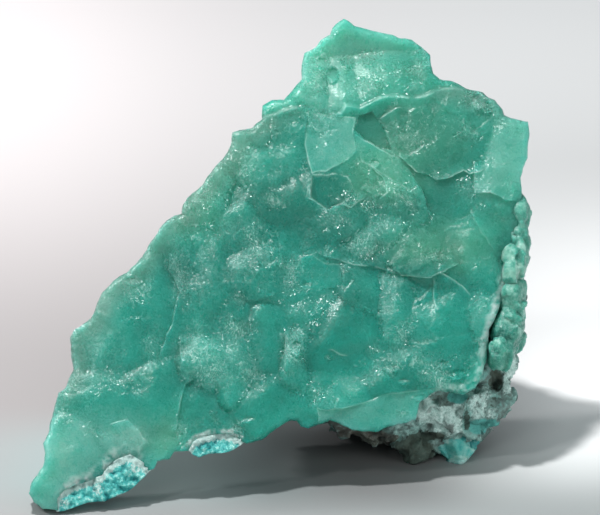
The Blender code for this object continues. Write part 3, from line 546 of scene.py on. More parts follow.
def chip_places(u, v):
    """Where the chips and scales are looked up, so that their edges wander."""
    return wandering(u, v, CHIP_WANDER, 1.8, 45)


def sparkle_share(u, v):
    """How much the crust's fine crystals sparkle, with more relief and painted glints."""
    return within(*wandering(u, v, 1.0, 2.0, 65), SPARKLING)


def soft_max(a, b, width):
    """The greater of two heights, with the crease between them filled in softly."""
    near = np.maximum(width - np.abs(a - b), 0.0)
    return np.maximum(a, b) + near * near / (4.0 * width)


def beside(u, v, course):
    """Distance to a line, above zero on its left, and 0 to 1 from its ends inwards."""
    points = np.array(course)
    spans = np.hypot(*np.diff(points, axis=0).T)
    starts = np.concatenate([[0.0], np.cumsum(spans)])
    nearest = np.full(u.shape, FAR_AWAY)
    side = np.zeros(u.shape)
    along = np.zeros(u.shape)
    for i, span in enumerate(spans):
        (au, av), (bu, bv) = points[i], points[i + 1]
        du, dv = (bu - au) / span, (bv - av) / span
        t = np.clip((u - au) * du + (v - av) * dv, 0.0, span)
        out = np.hypot(u - au - t * du, v - av - t * dv)
        wins = out < nearest
        nearest = np.where(wins, out, nearest)
        side = np.where(wins, np.sign(du * (v - av) - dv * (u - au)), side)
        along = np.where(wins, starts[i] + t, along)
    ends = smooth(np.minimum(along, starts[-1] - along) / 1.6)
    return nearest * side, ends


def lobes(u, v):
    """Height of the swollen lobes, their paleness and frost."""
    at_u, at_v = wandering(u, v, 1.5, 7.0, 41)
    at_u, at_v = wandering(at_u, at_v, 0.5, 2.6, 42)
    tilts = np.random.default_rng(7).uniform(-LOBE_TILT, LOBE_TILT, (len(LOBES), 2))
    softness = 0.25 + 0.9 * smooth(0.5 + 0.8 * relief(flat(u, v), 6.0, 55))
    height = np.zeros(u.shape)
    pale = np.zeros(u.shape)
    frost = np.full(u.shape, 0.45)
    for (cu, cv, ru, rv, rise, tone, sparkle), (tilt_u, tilt_v) in zip(LOBES, tilts):
        du, dv = at_u - cu, at_v - cv
        out = ellipse(du, dv, 0.0, 0.0, ru * LOBE_SPREAD, rv * LOBE_SPREAD)
        cap = LOBE_SHARE * rise * (1.0 - out) + (tilt_u * du + tilt_v * dv) * smooth(1.6 - out)
        wins = smooth((cap - height) / 0.8 + 0.5)
        pale += (tone - pale) * wins
        frost += (sparkle - frost) * wins
        height = soft_max(height, cap, softness)
    return height, pale, frost


def small_relief(u, v):
    """The crust's small bumps and broken faces, which are calmer on the knob."""
    at = flat(u, v)
    bent = flat(*wandering(u, v, 0.8, 3.0, 38))
    calm = 1.0 - 0.6 * behind_ledge(u, v, 1.0)
    shattered = 0.35 + 0.65 * within(u, v, CRAZED)
    bumps = 0.24 * relief(at, 4.2, 43) + 0.08 * relief(at, 2.1, 44)
    faces = 0.6 * facets(bent, 8.0, 0.10, 39) + 0.8 * facets(bent, 3.6, 0.06, 40)
    return 0.6 * relief(at, 9.0, 56) + calm * (bumps + shattered * faces)


def bright_line(away):
    """1 along a broken edge, just on its raised side: a pale line, partly painted highlight."""
    return np.exp(-((away - LINE_INSET) / LINE_WIDTH) ** 2)


def blend(looks, share, **aims):
    """Moves each of the looks towards its aim, all the way where share is 1."""
    for look, aim in aims.items():
        looks[look] += (aim - looks[look]) * share


def add_scales(looks, broken, u, v):
    """Raises thin scales on the crust, with bright uneven edges, partly painted highlight."""
    for course, rise, bright in SCALE_EDGES:
        side, ends = beside(u, v, course)
        side = side if rise > 0 else -side
        raised = smooth(side / CHIP_EDGE + 0.5) * np.exp(-np.abs(side) / SCALE_REACH)
        looks["height"] += abs(rise) * raised * ends
        looks["edge"] = np.maximum(looks["edge"], bright * broken * ends * bright_line(side))


def add_chips(looks, broken, u, v, line_u, line_v):
    """Breaks out the chips, each with its own plane, hollow, paleness and frost."""
    rough = 0.10 * relief(flat(u, v), 2.6, 46)
    for outline, rise, slope_u, slope_v, hollow, tone, sparkle, bright in CHIPS.values():
        corners = np.array(outline)
        middle_u, middle_v = corners.mean(axis=0)
        around = float(np.mean(lobes(corners[:, 0], corners[:, 1])[0]))
        reach = max(np.ptp(corners, axis=0)) / 2
        bowl = 1.0 - np.minimum(ellipse(u, v, middle_u, middle_v, reach, reach), 1.0)
        slope = slope_u * (u - middle_u) + slope_v * (v - middle_v)
        depth = depth_inside(line_u, line_v, outline)
        inside = smooth(depth / CHIP_EDGE + 0.5)
        plate = around + rise + slope - hollow * bowl + rough
        blend(looks, inside, height=plate, pale=tone, frost=sparkle)
        line = bright * broken * bright_line(depth)
        looks["edge"] = np.maximum(looks["edge"] * (1.0 - inside), line)


def add_nicks(looks, v, line_u, line_v):
    """Turns the small nicks up towards the overhead light."""
    for cu, cv, ru, rv in NICKS:
        inside = smooth((1.0 - ellipse(line_u, line_v, cu, cv, ru, rv)) / 0.5 + 0.5)
        looks["height"] -= inside * NICK_SLOPE * (v - cv)
        blend(looks, inside, frost=0.35)


def set_knob_back(looks, broken, u, v):
    """Sets the knob back behind the ledge, which has a bright edge, partly painted highlight."""
    above = depth_inside(u, v, ABOVE_LEDGE)
    back = 0.12 * behind_ledge(u, v, 0.6) + 0.88 * smooth(above / 12.0)
    looks["height"] -= KNOB_SETBACK * back
    ledge_line = np.exp(-((above + 0.2) / 0.22) ** 2)
    looks["edge"] = np.maximum(looks["edge"], 0.45 * broken * ledge_line)


def add_patches(looks, u, v):
    """Adds the broad differences in paleness and moss, partly painted light and shade."""
    patch_u, patch_v = wandering(u, v, 1.6, 4.0, 57)
    for cu, cv, ru, rv, paler, mossier in PATCHES:
        share = spot(patch_u, patch_v, cu, cv, ru, rv)
        looks["pale"] += paler * share
        looks["moss"] += mossier * share


def crust_looks(u, v):
    """The face's height, and how pale, mossy, frosted and feather-edged it is, the paleness and
    edges partly painted light.
    """
    height, pale, frost = lobes(u, v)
    looks = {"height": height + small_relief(u, v), "pale": pale, "frost": frost,
             "moss": np.zeros(u.shape), "edge": np.zeros(u.shape)}
    line = chip_places(u, v)
    broken = smooth(0.5 + 0.9 * relief(flat(u, v), 1.6, 47))
    add_scales(looks, broken, *line)
    add_chips(looks, broken, u, v, *line)
    add_nicks(looks, v, *line)
    set_knob_back(looks, broken, u, v)
    add_patches(looks, u, v)
    return looks


def within(u, v, places):
    """Strongest at the middle of any of the round places, fading to 0 around them."""
    share = np.zeros(u.shape)
    for *place, strength in (row if len(row) > 4 else (*row, 1.0) for row in places):
        share = np.maximum(share, strength * spot(u, v, *place))
    return share


def chalk(u, v):
    """1 where the crust has a chalky white skin."""
    at_u, at_v = wandering(u, v, 0.5, 1.5, 58)
    share = np.zeros(u.shape)
    for course, width in CHALK_COURSES:
        away, _ = beside(at_u, at_v, course)
        share = np.maximum(share, smooth(1.3 - np.abs(away) / width))
    at = flat(u, v)
    return share * smooth(0.55 + 0.7 * relief(at, 1.6, 59) + 0.6 * relief(at, 0.5, 66))


def crust_front(u, v):
    """Depth of the crust's front with its fine frosted skin."""
    looks = crust_looks(u, v)
    at = flat(*wandering(u, v, 0.25, 0.9, 51))
    skin = 0.4 * looks["frost"] + 0.5 * sparkle_share(u, v)
    height = looks["height"] + skin * (0.03 * grains(at, 1.0, 52) + 0.04 * relief(at, 0.6, 53))
    height += chalk(u, v) * 0.25 * grains(at, 0.8, 60)
    near_rind = np.maximum(
        depth_inside(u, v, TIP_RIND_OUTLINE), depth_inside(u, v, MIDDLE_RIND_OUTLINE))
    uneven = 0.28 + 0.22 * relief(at, 5.0, 64)
    rounding = RIM_ROUNDING * uneven * (0.25 + 0.75 * smooth(-near_rind / 4.0))
    height -= rounded_rim(depth_inside(u, v, CRUST_OUTLINE), rounding, rounding)
    return face_plane(u, v) - height


def crease_points():
    """Points on both sides of every chip's and scale's edge, so that it is crisp."""
    rows = []
    courses = [course for course, *_ in SCALE_EDGES]
    courses += [outline + outline[:1] for outline, *_ in CHIPS.values()]
    for course in courses:
        for start, end in zip(np.array(course), np.array(course[1:])):
            span = float(np.hypot(*(end - start)))
            along = (end - start) / span
            steps = np.arange(0.0, span, CREASE_STEP)[:, None]
            for apart in CREASE_OFFSETS:
                rows.append(start + along * steps + np.array([-along[1], along[0]]) * apart)
    points = np.vstack(rows)
    return 2.0 * points - np.column_stack(chip_places(points[:, 0], points[:, 1]))


def crust_back(u, v):
    """Depth of the crust's even back."""
    rim = smooth(depth_inside(u, v, CRUST_OUTLINE) / TAPER_WIDTH)
    body = RIM_THICKNESS + (FULL_THICKNESS - RIM_THICKNESS) * rim
    knob = KNOB_SETBACK + RIM_THICKNESS + (KNOB_THICKNESS - RIM_THICKNESS) * rim
    return face_plane(u, v) + body + (knob - body) * behind_ledge(u, v, 9.0)


def open_crust_back(u, v):
    """The crust's back, lumpy where no rock covers it."""
    bare = smooth((-depth_inside(u, v, ROCK_OUTLINE) - 1.0) / 5.0)
    at = flat(u, v)
    lumps = 2.6 * relief(at, 12.0, 3) + 1.3 * relief(at, 5.5, 4)
    rim = smooth(depth_inside(u, v, CRUST_OUTLINE) / 6.0)
    fine = 0.4 * relief(at, 2.4, 61) + facets(at, 4.6, 0.3, 62) + 0.15 * relief(at, 1.2, 63)
    return crust_back(u, v) + bare * (rim * (ledges(lumps + 6.0, 1.7) - 6.0) + fine)


def rock_front(u, v):
    """Depth of the rock's front: against the crust above, an upright lumpy wall below."""
    against_crust = crust_back(u, v) + 0.2
    wall = WALL_TOP_DEPTH + WALL_SLOPE * (v - WALL_TOP_V)
    outside = smooth(-depth_inside(u, v, CRUST_OUTLINE) / 1.5 - 0.3)
    relief_height = caps(u, v, ROCK_LUMPS) - caps(u, v, ROCK_PITS)
    rounding = rounded_rim(depth_inside(u, v, ROCK_OUTLINE), 2.0, 1.6)
    return np.maximum(against_crust, wall) + outside * (2.2 - relief_height + rounding)


def rock_back(u, v):
    """Depth of the rock's rounded back, with the foot that props the object."""
    out = ellipse(u, v, *ROCK_CENTRE, *ROCK_REACH)
    bulk = rock_front(u, v) + ROCK_RIM + ROCK_BULK * np.sqrt(np.clip(1.0 - out, 0.0, 1.0))
    at = flat(u, v)
    bulk = bulk + 3.4 * relief(at, 12.0, 11) + 1.6 * relief(at, 5.5, 12)
    bulk = ledges(bulk + 50.0, ROCK_LEDGES) - 50.0
    foot_out = ellipse(u, v, *FOOT_PLACE, FOOT_RADIUS, FOOT_RADIUS)
    foot = FOOT_DEPTH - 9.0 * foot_out ** 2
    return np.maximum(np.maximum(bulk, foot), rock_front(u, v) + 2.0)


def rind_lumps(at):
    """Crystal lumps: 1 on their tops, 0 in the gaps between them."""
    return 0.6 * grains(at, 1.1, 71) + 0.4 * grains(at, 0.6, 72)


def rind_front(u, v):
    """The rinds' granular front, level with the crust around them."""
    at = flat(u, v)
    level = face_plane(u, v) - 0.8 * lobes(u, v)[0]
    return level + 1.0 - 1.4 * rind_lumps(at) - 0.6 * relief(at, 2.6, 73)


def rind_back(u, v):
    """Depth of the rinds' even back, inside the crust's thickness."""
    return face_plane(u, v) + RIM_THICKNESS - 1.0


def signed_area(outline):
    """Area of an outline, below zero where it runs clockwise."""
    u, v = np.array(outline).T
    return float(np.sum(u * np.roll(v, -1) - v * np.roll(u, -1))) / 2


def finer(outline, spacing, rough, seed):
    """The outline with points close together and a slightly rough course."""
    ring = np.array(outline[::-1] if signed_area(outline) < 0 else outline)
    course = []
    for start, end in zip(ring, np.roll(ring, -1, axis=0)):
        count = max(1, round(float(np.hypot(*(end - start))) / spacing))
        course += [start + (end - start) * i / count for i in range(count)]
    course = np.array(course)
    along = np.roll(course, -1, axis=0) - np.roll(course, 1, axis=0)
    inward = np.stack([-along[:, 1], along[:, 0]], axis=1)
    inward /= np.linalg.norm(inward, axis=1)[:, None]
    at = np.column_stack([course, np.zeros(len(course))])
    wander = rough * (relief(at, 1.5, seed) + 0.6 * relief(at, 0.8, seed + 1))
    return course + inward * wander[:, None], inward


def triangulate(ring, spacing, seed, creases=None):
    """Covers an outline with triangles: its own points, and jittered rows inside it."""
    low, high = ring.min(axis=0), ring.max(axis=0)
    row_height = spacing * sin(pi / 3)
    rows = np.arange(low[1], high[1], row_height)
    columns = np.arange(low[0], high[0], spacing)
    points = np.array(
        [(x + (i % 2) * spacing / 2, y) for i, y in enumerate(rows) for x in columns])
    points += np.random.default_rng(seed).uniform(-0.2, 0.2, points.shape) * spacing
    points = points[depth_inside(points[:, 0], points[:, 1], ring) > spacing * 0.42]
    if creases is not None:
        creases = creases[depth_inside(creases[:, 0], creases[:, 1], ring) > spacing * 0.42]
        tree = KDTree(len(creases))
        for i, (x, y) in enumerate(creases):
            tree.insert((x, y, 0.0), i)
        tree.balance()
        clear = [tree.find((x, y, 0.0))[2] > spacing * 0.55 for x, y in points]
        points = np.vstack([points[clear], creases])
    flat_points = [Vector(p) for p in np.vstack([ring, points])]
    result = delaunay_2d_cdt(flat_points, [], [list(range(len(ring)))], 1, 1e-6)
    return np.array([tuple(p) for p in result[0]]), [tuple(f) for f in result[2]]


def slab(outline, front_grain, back_grain, front, back, rough, seed, creases=None):
    """A closed body between a front and a back, with a rough lumpy wall around it."""
    ring, inward = finer(outline, WALL_GRAIN, 0.12, seed + 5)
    count = len(ring)
    front_uv, front_faces = triangulate(ring, front_grain, seed, creases)
    back_uv, back_faces = triangulate(ring, back_grain, seed + 1)
    front_w = front(front_uv[:, 0], front_uv[:, 1])
    back_w = back(back_uv[:, 0], back_uv[:, 1])
    thickness = float(np.mean(back_w[:count] - front_w[:count]))
    rows = max(2, round(thickness / WALL_GRAIN))
    uv, w = [front_uv], [front_w]
    for row in range(1, rows + 1):
        share = row / (rows + 1)
        row_w = front_w[:count] * (1 - share) + back_w[:count] * share
        at = np.column_stack([ring, row_w])
        push = rough * (0.7 + 0.9 * relief(at, 7.0, seed + 2)) * sin(pi * share)
        push = np.maximum(push, 0.0) + 0.3 * relief(at, 2.2, seed + 3) * min(1.0, 4 * share)
        uv.append(ring + inward * push[:, None])
        w.append(row_w)
    uv = np.vstack(uv + [back_uv])
    w = np.concatenate(w + [back_w])

    faces = list(front_faces)
    first_back = len(front_uv) + rows * count
    faces += [tuple(first_back + i for i in reversed(f)) for f in back_faces]
    starts = [0] + [len(front_uv) + row * count for row in range(rows)] + [first_back]
    for near, far in zip(starts, starts[1:]):
        for i in range(count):
            j = (i + 1) % count
            faces.append((near + j, near + i, far + i, far + j))
    return uv, w, faces


def floor_cut(mesh):
    """Cuts off what is below the floor and closes the cut with a flat foot."""
    parts = mesh.verts[:] + mesh.edges[:] + mesh.faces[:]
    cut = bmesh.ops.bisect_plane(
        mesh, geom=parts, dist=1e-6, plane_co=(0, 0, 0), plane_no=(0, 0, 1), clear_inner=True)
    edges = [e for e in cut["geom_cut"] if isinstance(e, bmesh.types.BMEdge)]
    if edges:
        bmesh.ops.triangle_fill(mesh, edges=edges, use_beauty=True, use_dissolve=False)


def mesh_from(points, faces):
    """A bmesh with these points and faces."""
    mesh = bmesh.new()
    corners = [mesh.verts.new(p) for p in points]
    for face in faces:
        mesh.faces.new([corners[i] for i in face])
    return mesh


def add_piece(name, mesh, material):
    """Makes an object from a bmesh, shaded smooth."""
    bmesh.ops.recalc_face_normals(mesh, faces=mesh.faces[:])
    data = bpy.data.meshes.new(name)
    mesh.to_mesh(data)
    mesh.free()
    data.shade_smooth()
    thing = bpy.data.objects.new(name, data)
    bpy.context.scene.collection.objects.link(thing)
    if material:
        data.materials.append(material)
    return thing


def sheet_places(thing):
    """The u, v, w of each point of a piece."""
    flat_list = np.empty(len(thing.data.vertices) * 3)
    thing.data.vertices.foreach_get("co", flat_list)
    x, y, z = flat_list.reshape(-1, 3).T / MM
    lean = radians(SHEET_LEAN)
    y, z = y + CENTRE_Y, z - FLOOR_LIFT
    return x + CENTRE_X, z * cos(lean) + y * sin(lean), y * cos(lean) - z * sin(lean)


def point_places(points):
    """The places of mesh points, in metres."""
    return np.array([tuple(point.co) for point in points])


def move_points(points, places):
    """Puts mesh points in new places."""
    for point, place in zip(points, places):
        point.co = place


def write_masks(thing, **masks):
    """Stores values from 0 to 1 on a piece's points, for its finish."""
    for name, values in masks.items():
        layer = thing.data.attributes.new(name, "FLOAT", "POINT")
        layer.data.foreach_set("value", np.clip(values, 0.0, 1.0).astype(np.float32))


class Wire:
    """A shader socket that takes part in Python expressions."""

    def __init__(self, finish, socket):
        self.finish = finish
        self.socket = socket

    def __add__(self, other):
        return self.finish.maths("ADD", self, other)

    def __sub__(self, other):
        return self.finish.maths("SUBTRACT", self, other)

    def __rsub__(self, other):
        return self.finish.maths("SUBTRACT", other, self)

    def __mul__(self, other):
        return self.finish.maths("MULTIPLY", self, other)

    __radd__ = __add__


class Finish:
    """One material: a Principled shader and the nodes that feed it."""

    def __init__(self, name, **shader_values):
        self.material = bpy.data.materials.new(name)
        self.material.use_nodes = True
        self.tree = self.material.node_tree
        self.shader = self.tree.nodes["Principled BSDF"]
        for key, value in shader_values.items():
            self.shader.inputs[key.replace("_", " ")].default_value = value

    def node(self, kind, settings=None, inputs=None, output=0):
        made = self.tree.nodes.new("ShaderNode" + kind)
        for key, value in (settings or {}).items():
            setattr(made, key, value)
        for key, value in (inputs or {}).items():
            if isinstance(value, Wire):
                self.tree.links.new(value.socket, made.inputs[key])
            else:
                made.inputs[key].default_value = value
        return Wire(self, made.outputs[output])

    def ramp(self, value, *stops):
        """Runs through colours with a value; each stop is a value and its colour."""
        made = self.node("ValToRGB", {}, {"Fac": value})
        elements = made.socket.node.color_ramp.elements
        elements.remove(elements[1])
        for i, (position, colour) in enumerate(stops):
            element = elements.new(position) if i else elements[0]
            element.position = position
            element.color = colour
        return made

    def maths(self, operation, a, b):
        return self.node("Math", {"operation": operation}, {0: a, 1: b})

    def vector(self, operation, a, b, output=0):
        """Vector maths; for SCALE, b is a number."""
        second = "Scale" if operation == "SCALE" else 1
        return self.node("VectorMath", {"operation": operation}, {0: a, second: b}, output)

    def mask(self, name):
        return self.node("Attribute", {"attribute_name": name}, output="Fac")

    def place(self):
        """The point's own place, in millimetres."""
        return self.vector("SCALE", self.node("TexCoord", output="Object"), 1.0 / MM)

    def noise(self, at, size, detail=3.0, rough=0.5, output="Fac"):
        return self.node("TexNoise", {}, {
            "Vector": at, "Scale": 1.0 / size, "Detail": detail, "Roughness": rough}, output)

    def bent(self, at, size, detail, reach):
        """The place, moved along with a soft noise."""
        bend = self.vector("SCALE", self.noise(at, size, detail, output="Color"), reach)
        return self.vector("ADD", at, bend)

    def mix(self, share, first, second):
        settings = {"data_type": "RGBA", "blend_type": "MIX"}
        return self.node("Mix", settings, {0: share, 6: first, 7: second}, output=2)

    def greater(self, a, b):
        return self.maths("MAXIMUM", a, b)

    def step(self, value, low, high):
        """Rises smoothly from 0 at low to 1 at high."""
        settings = {"interpolation_type": "SMOOTHSTEP"}
        return self.node("MapRange", settings, {0: value, 1: low, 2: high})

    def band(self, value, low, rise_end, fall_start, high):
        """1 between rise_end and fall_start, fading to 0 at low and high."""
        return self.step(value, low, rise_end) * self.step(value, high, fall_start)

    def bump(self, height, distance, strength):
        return self.node("Bump", {}, {
            "Height": height, "Distance": distance, "Strength": strength})

    def feed(self, **wires):
        for key, wire in wires.items():
            self.tree.links.new(wire.socket, self.shader.inputs[key.replace("_", " ")])


def rgb(red, green, blue):
    """A screen colour from 0 to 255 as the shader's linear colour."""
    def linear(c):
        c /= 255
        return c / 12.92 if c <= 0.04045 else ((c + 0.055) / 1.055) ** 2.4
    return (linear(red), linear(green), linear(blue), 1.0)


def crystal_facets(finish, at, size):
    """Height of tiny flat crystal faces, each tilted its own way."""
    inputs = {"Vector": at, "Scale": 1.0 / size, "Randomness": 1.0}
    cell = finish.node("TexVoronoi", {}, inputs, "Color")
    middle = finish.node("TexVoronoi", {}, inputs, "Position")
    tilt = finish.vector("SUBTRACT", cell, (0.5, 0.5, 0.5))
    offset = finish.vector("SUBTRACT", finish.vector("SCALE", at, 1.0 / size), middle)
    return finish.vector("DOT_PRODUCT", tilt, offset, "Value")


def green_crust_finish():
    """Translucent green, paler or mossier in places, with frost, cracks, chalk, painted glints,
    edge lines partly painted highlight, and painted shade on the upper-left rim.
    """
    finish = Finish(
        "green smithsonite", IOR=1.5, Coat_Weight=0.3, Coat_Roughness=0.45, Subsurface_Weight=1.0,
        Subsurface_Radius=(0.5, 1.0, 0.9), Subsurface_Scale=0.011)
    at = finish.place()
    frost = finish.mask("frost")
    edge = finish.mask("edge")
    white = finish.mask("chalk")
    sparkle = finish.mask("sparkle")
    veil = finish.noise(at, 2.6, 4.0, 0.6)
    mottle = finish.noise(at, 0.36, 2.0)
    streak = streaks(finish, at)
    tone = finish.mask("pale") * 0.85 + (finish.noise(at, 9.0) - 0.5) * 0.5
    tone = tone + (veil - 0.5) * 0.14 + (mottle - 0.5) * 0.20 - 0.28
    body = finish.ramp(
        tone, (0.0, rgb(2, 114, 99)), (0.3, rgb(20, 142, 125)),
        (0.6, rgb(92, 165, 150)), (1.0, rgb(162, 192, 180)))
    mossy = finish.step(finish.mask("moss"), 0.5, 1.0)
    colour = finish.mix(mossy * 0.45, body, rgb(90, 158, 124))
    powder = finish.step(mottle, 0.35, 0.70) * (frost * 0.06 + 0.02)
    colour = finish.mix(powder, colour, rgb(176, 214, 204))
    crack = crazing(finish, at) * finish.mask("crazed")
    # Painted glints: pale specks painted on the sparkling crystals.
    painted_glints = sparkle * (finish.step(streak, 0.52, 0.60) * 0.44 + 0.12)
    # Pale cracks, and feather edges whose pale line is partly painted highlight, join the painted
    # glints.
    bright = finish.greater(finish.greater(edge * 0.6, crack * 0.25), painted_glints)
    colour = finish.mix(bright, colour, rgb(196, 230, 218))
    # Painted shade on the upper-left rim, which dims its glow from the lamp behind.
    colour = finish.mix(finish.mask("thin") * 0.8, colour, rgb(94, 126, 114))
    colour = finish.mix(white * 0.6, colour, rgb(182, 210, 200))
    height = crystal_facets(finish, at, 0.34) * (frost * 0.35 + sparkle * 0.7 + 0.18)
    height = height + streak * (frost * 0.45 + sparkle * 0.7 + 0.28)
    rough = 0.28 + edge * 0.2 + (veil - 0.5) * 0.12 + white * 0.3
    finish.feed(Base_Color=colour, Roughness=rough, Normal=finish.bump(height, 0.00028, 0.8))
    return finish.material


def streaks(finish, at):
    """Fine growth streaks that run down the crust and bend with it."""
    drawn_out = finish.vector("MULTIPLY", finish.bent(at, 5.0, 1.0, 6.0), (1.0, 1.0, 0.4))
    return finish.noise(drawn_out, 0.30, 1.5)


def crazing(finish, at):
    """1 along fine wandering cracks."""
    inputs = {"Vector": finish.bent(at, 1.3, 2.0, 2.5), "Scale": 1.0 / 1.7}
    away = finish.node("TexVoronoi", {"feature": "DISTANCE_TO_EDGE"}, inputs, "Distance")
    return finish.step(away, 0.06, 0.0) * finish.step(finish.noise(at, 1.1, 1.0), 0.45, 0.6)


def rock_finish():
    """Grey-green rock with chalky, teal, rusty and dark patches, the dark partly painted shade,
    and painted shade in its pits and crevices.
    """
    finish = Finish("pitted host rock", IOR=1.5, Roughness=0.8)
    at = finish.place()
    spots = finish.noise(at, 1.3, 5.0, 0.7)
    specks = finish.noise(at, 0.5, 4.0, 0.7)
    base = finish.ramp(
        finish.noise(at, 6.0, 4.0, 0.6) * 0.55 + spots * 0.45,
        (0.36, rgb(82, 96, 92)), (0.47, rgb(116, 144, 138)),
        (0.56, rgb(136, 182, 174)), (0.68, rgb(194, 220, 212)))
    uneven = (spots - 0.5) * 1.6
    white = finish.step(finish.mask("white") + uneven, 0.35, 0.65)
    teal = finish.step(finish.mask("teal") + uneven, 0.35, 0.90)
    rust = finish.step(finish.mask("rust") + uneven, 0.40, 0.70)
    dark = finish.step(finish.mask("dark") + uneven, 0.40, 0.65)
    chalky = finish.mix(finish.step(specks, 0.30, 0.70), rgb(150, 190, 182), rgb(218, 242, 236))
    blue = finish.mix(specks, rgb(24, 124, 122), rgb(110, 196, 184))
    black = finish.mix(specks, rgb(26, 26, 24), rgb(84, 92, 78))
    colour = finish.mix(rust * 0.7, base, rgb(104, 88, 80))
    colour = finish.mix(white, colour, chalky)
    colour = finish.mix(teal * 0.9, colour, blue)
    # Dark patches: partly the rock's own colour, partly painted shade at the pits.
    colour = finish.mix(dark * 0.85, colour, black)
    colour = finish.mix(finish.step(specks, 0.38, 0.28) * 0.65, colour, rgb(52, 58, 54))
    # Painted shade in the pits and crevices.
    colour = finish.mix(finish.mask("sunk") * 0.75, colour, rgb(40, 44, 42))
    height = spots * 0.7 + specks * 0.6
    finish.feed(Base_Color=colour, Normal=finish.bump(height, 0.0006, 0.8))
    return finish.material


def turquoise_finish(name, deep, middle, light, glow):
    """Translucent lumps between a deep and a light colour, with pale skin in the seams."""
    finish = Finish(
        name, IOR=1.5, Subsurface_Weight=glow, Subsurface_Radius=(0.6, 1.0, 0.9),
        Subsurface_Scale=0.004)
    at = finish.place()
    uneven = finish.noise(at, 2.2, 4.0, 0.6)
    tone = finish.mask("tone") + (uneven - 0.5) * 1.6
    colour = finish.ramp(tone, (0.0, rgb(*deep)), (0.4, rgb(*middle)), (1.0, rgb(*light)))
    powder = finish.step(finish.noise(at, 0.4, 3.0, 0.6), 0.42, 0.66) * 0.2
    skin = finish.step(finish.mask("seam") * 0.5 + (uneven - 0.5) * 2.4, 0.40, 0.90) * 0.5
    colour = finish.mix(finish.greater(powder, skin), colour, rgb(170, 206, 194))
    height = crystal_facets(finish, at, 0.5) + finish.noise(at, 0.8)
    rough = 0.42 + (uneven - 0.5) * 0.3
    finish.feed(Base_Color=colour, Roughness=rough, Normal=finish.bump(height, 0.00025, 0.8))
    return finish.material


def rind_finish():
    """Cyan crystals under a white skin, which is thickest along the upper edge; the lumps' tops
    are painted lighter and the gaps darker, a painted highlight and shade.
    """
    finish = Finish(
        "blue rind", IOR=1.6, Roughness=0.5, Subsurface_Weight=0.3,
        Subsurface_Radius=(0.7, 1.0, 1.0), Subsurface_Scale=0.0015)
    at = finish.place()
    # Lighter on the lumps' tops and darker in the gaps: partly painted highlight and shade, partly
    # uneven tone.
    tone = finish.mask("lumps") * 0.8 + finish.noise(at, 0.6, 4.0, 0.75) * 1.1 - 0.58
    blue = finish.ramp(
        tone, (0.15, rgb(10, 110, 114)), (0.40, rgb(38, 156, 154)),
        (0.64, rgb(88, 186, 178)), (0.90, rgb(186, 220, 212)))
    uneven = (finish.noise(at, 0.5, 4.0, 0.7) - 0.5) * 2.2
    skin = finish.step(finish.mask("white") + uneven, 0.40, 0.80)
    colour = finish.mix(skin * 0.8, blue, finish.mix(tone, rgb(136, 172, 166), rgb(210, 222, 216)))
    height = crystal_facets(finish, at, 0.4) + finish.noise(at, 0.5)
    finish.feed(Base_Color=colour, Normal=finish.bump(height, 0.0003, 0.9))
    return finish.material


def make_crust():
    """The smithsonite mass, with the masks that its finish reads."""
    uv, w, faces = slab(
        CRUST_OUTLINE, FRONT_GRAIN, BACK_GRAIN, crust_front, open_crust_back, 1.2, 101,
        crease_points())
    mesh = mesh_from(to_world(uv[:, 0], uv[:, 1], w), faces)
    floor_cut(mesh)
    crust = add_piece("green_crust", mesh, green_crust_finish())
    u, v, w = sheet_places(crust)
    looks = crust_looks(u, v)
    set_back = KNOB_SETBACK / 2.5 * behind_ledge(u, v, 0.7)
    behind = smooth((w - face_plane(u, v) + 1.0) / 2.5 - set_back)
    front = 1.0 - behind
    # Painted shade along the upper-left rim, stored as the thin mask, dims its glow from the lamp
    # behind.
    rim = (1.0 - smooth(depth_inside(u, v, CRUST_OUTLINE) / 6.0)) * smooth((v - u - 20.0) / 40.0)
    rim *= (1.0 - behind_ledge(u, v, 3.0)) * smooth((v - 10.0) / 20.0)
    write_masks(
        crust,
        pale=0.5 + 0.5 * looks["pale"] * (1.0 - 0.6 * behind),
        moss=0.5 + 0.5 * looks["moss"],
        chalk=chalk(u, v) * front,
        crazed=within(u, v, CRAZED) * front,
        sparkle=sparkle_share(u, v) * front,
        frost=looks["frost"] * (1.0 - 0.5 * behind),
        edge=looks["edge"] * front,
        thin=rim)
    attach(crust, "root")
    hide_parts("smithsonite_crust")


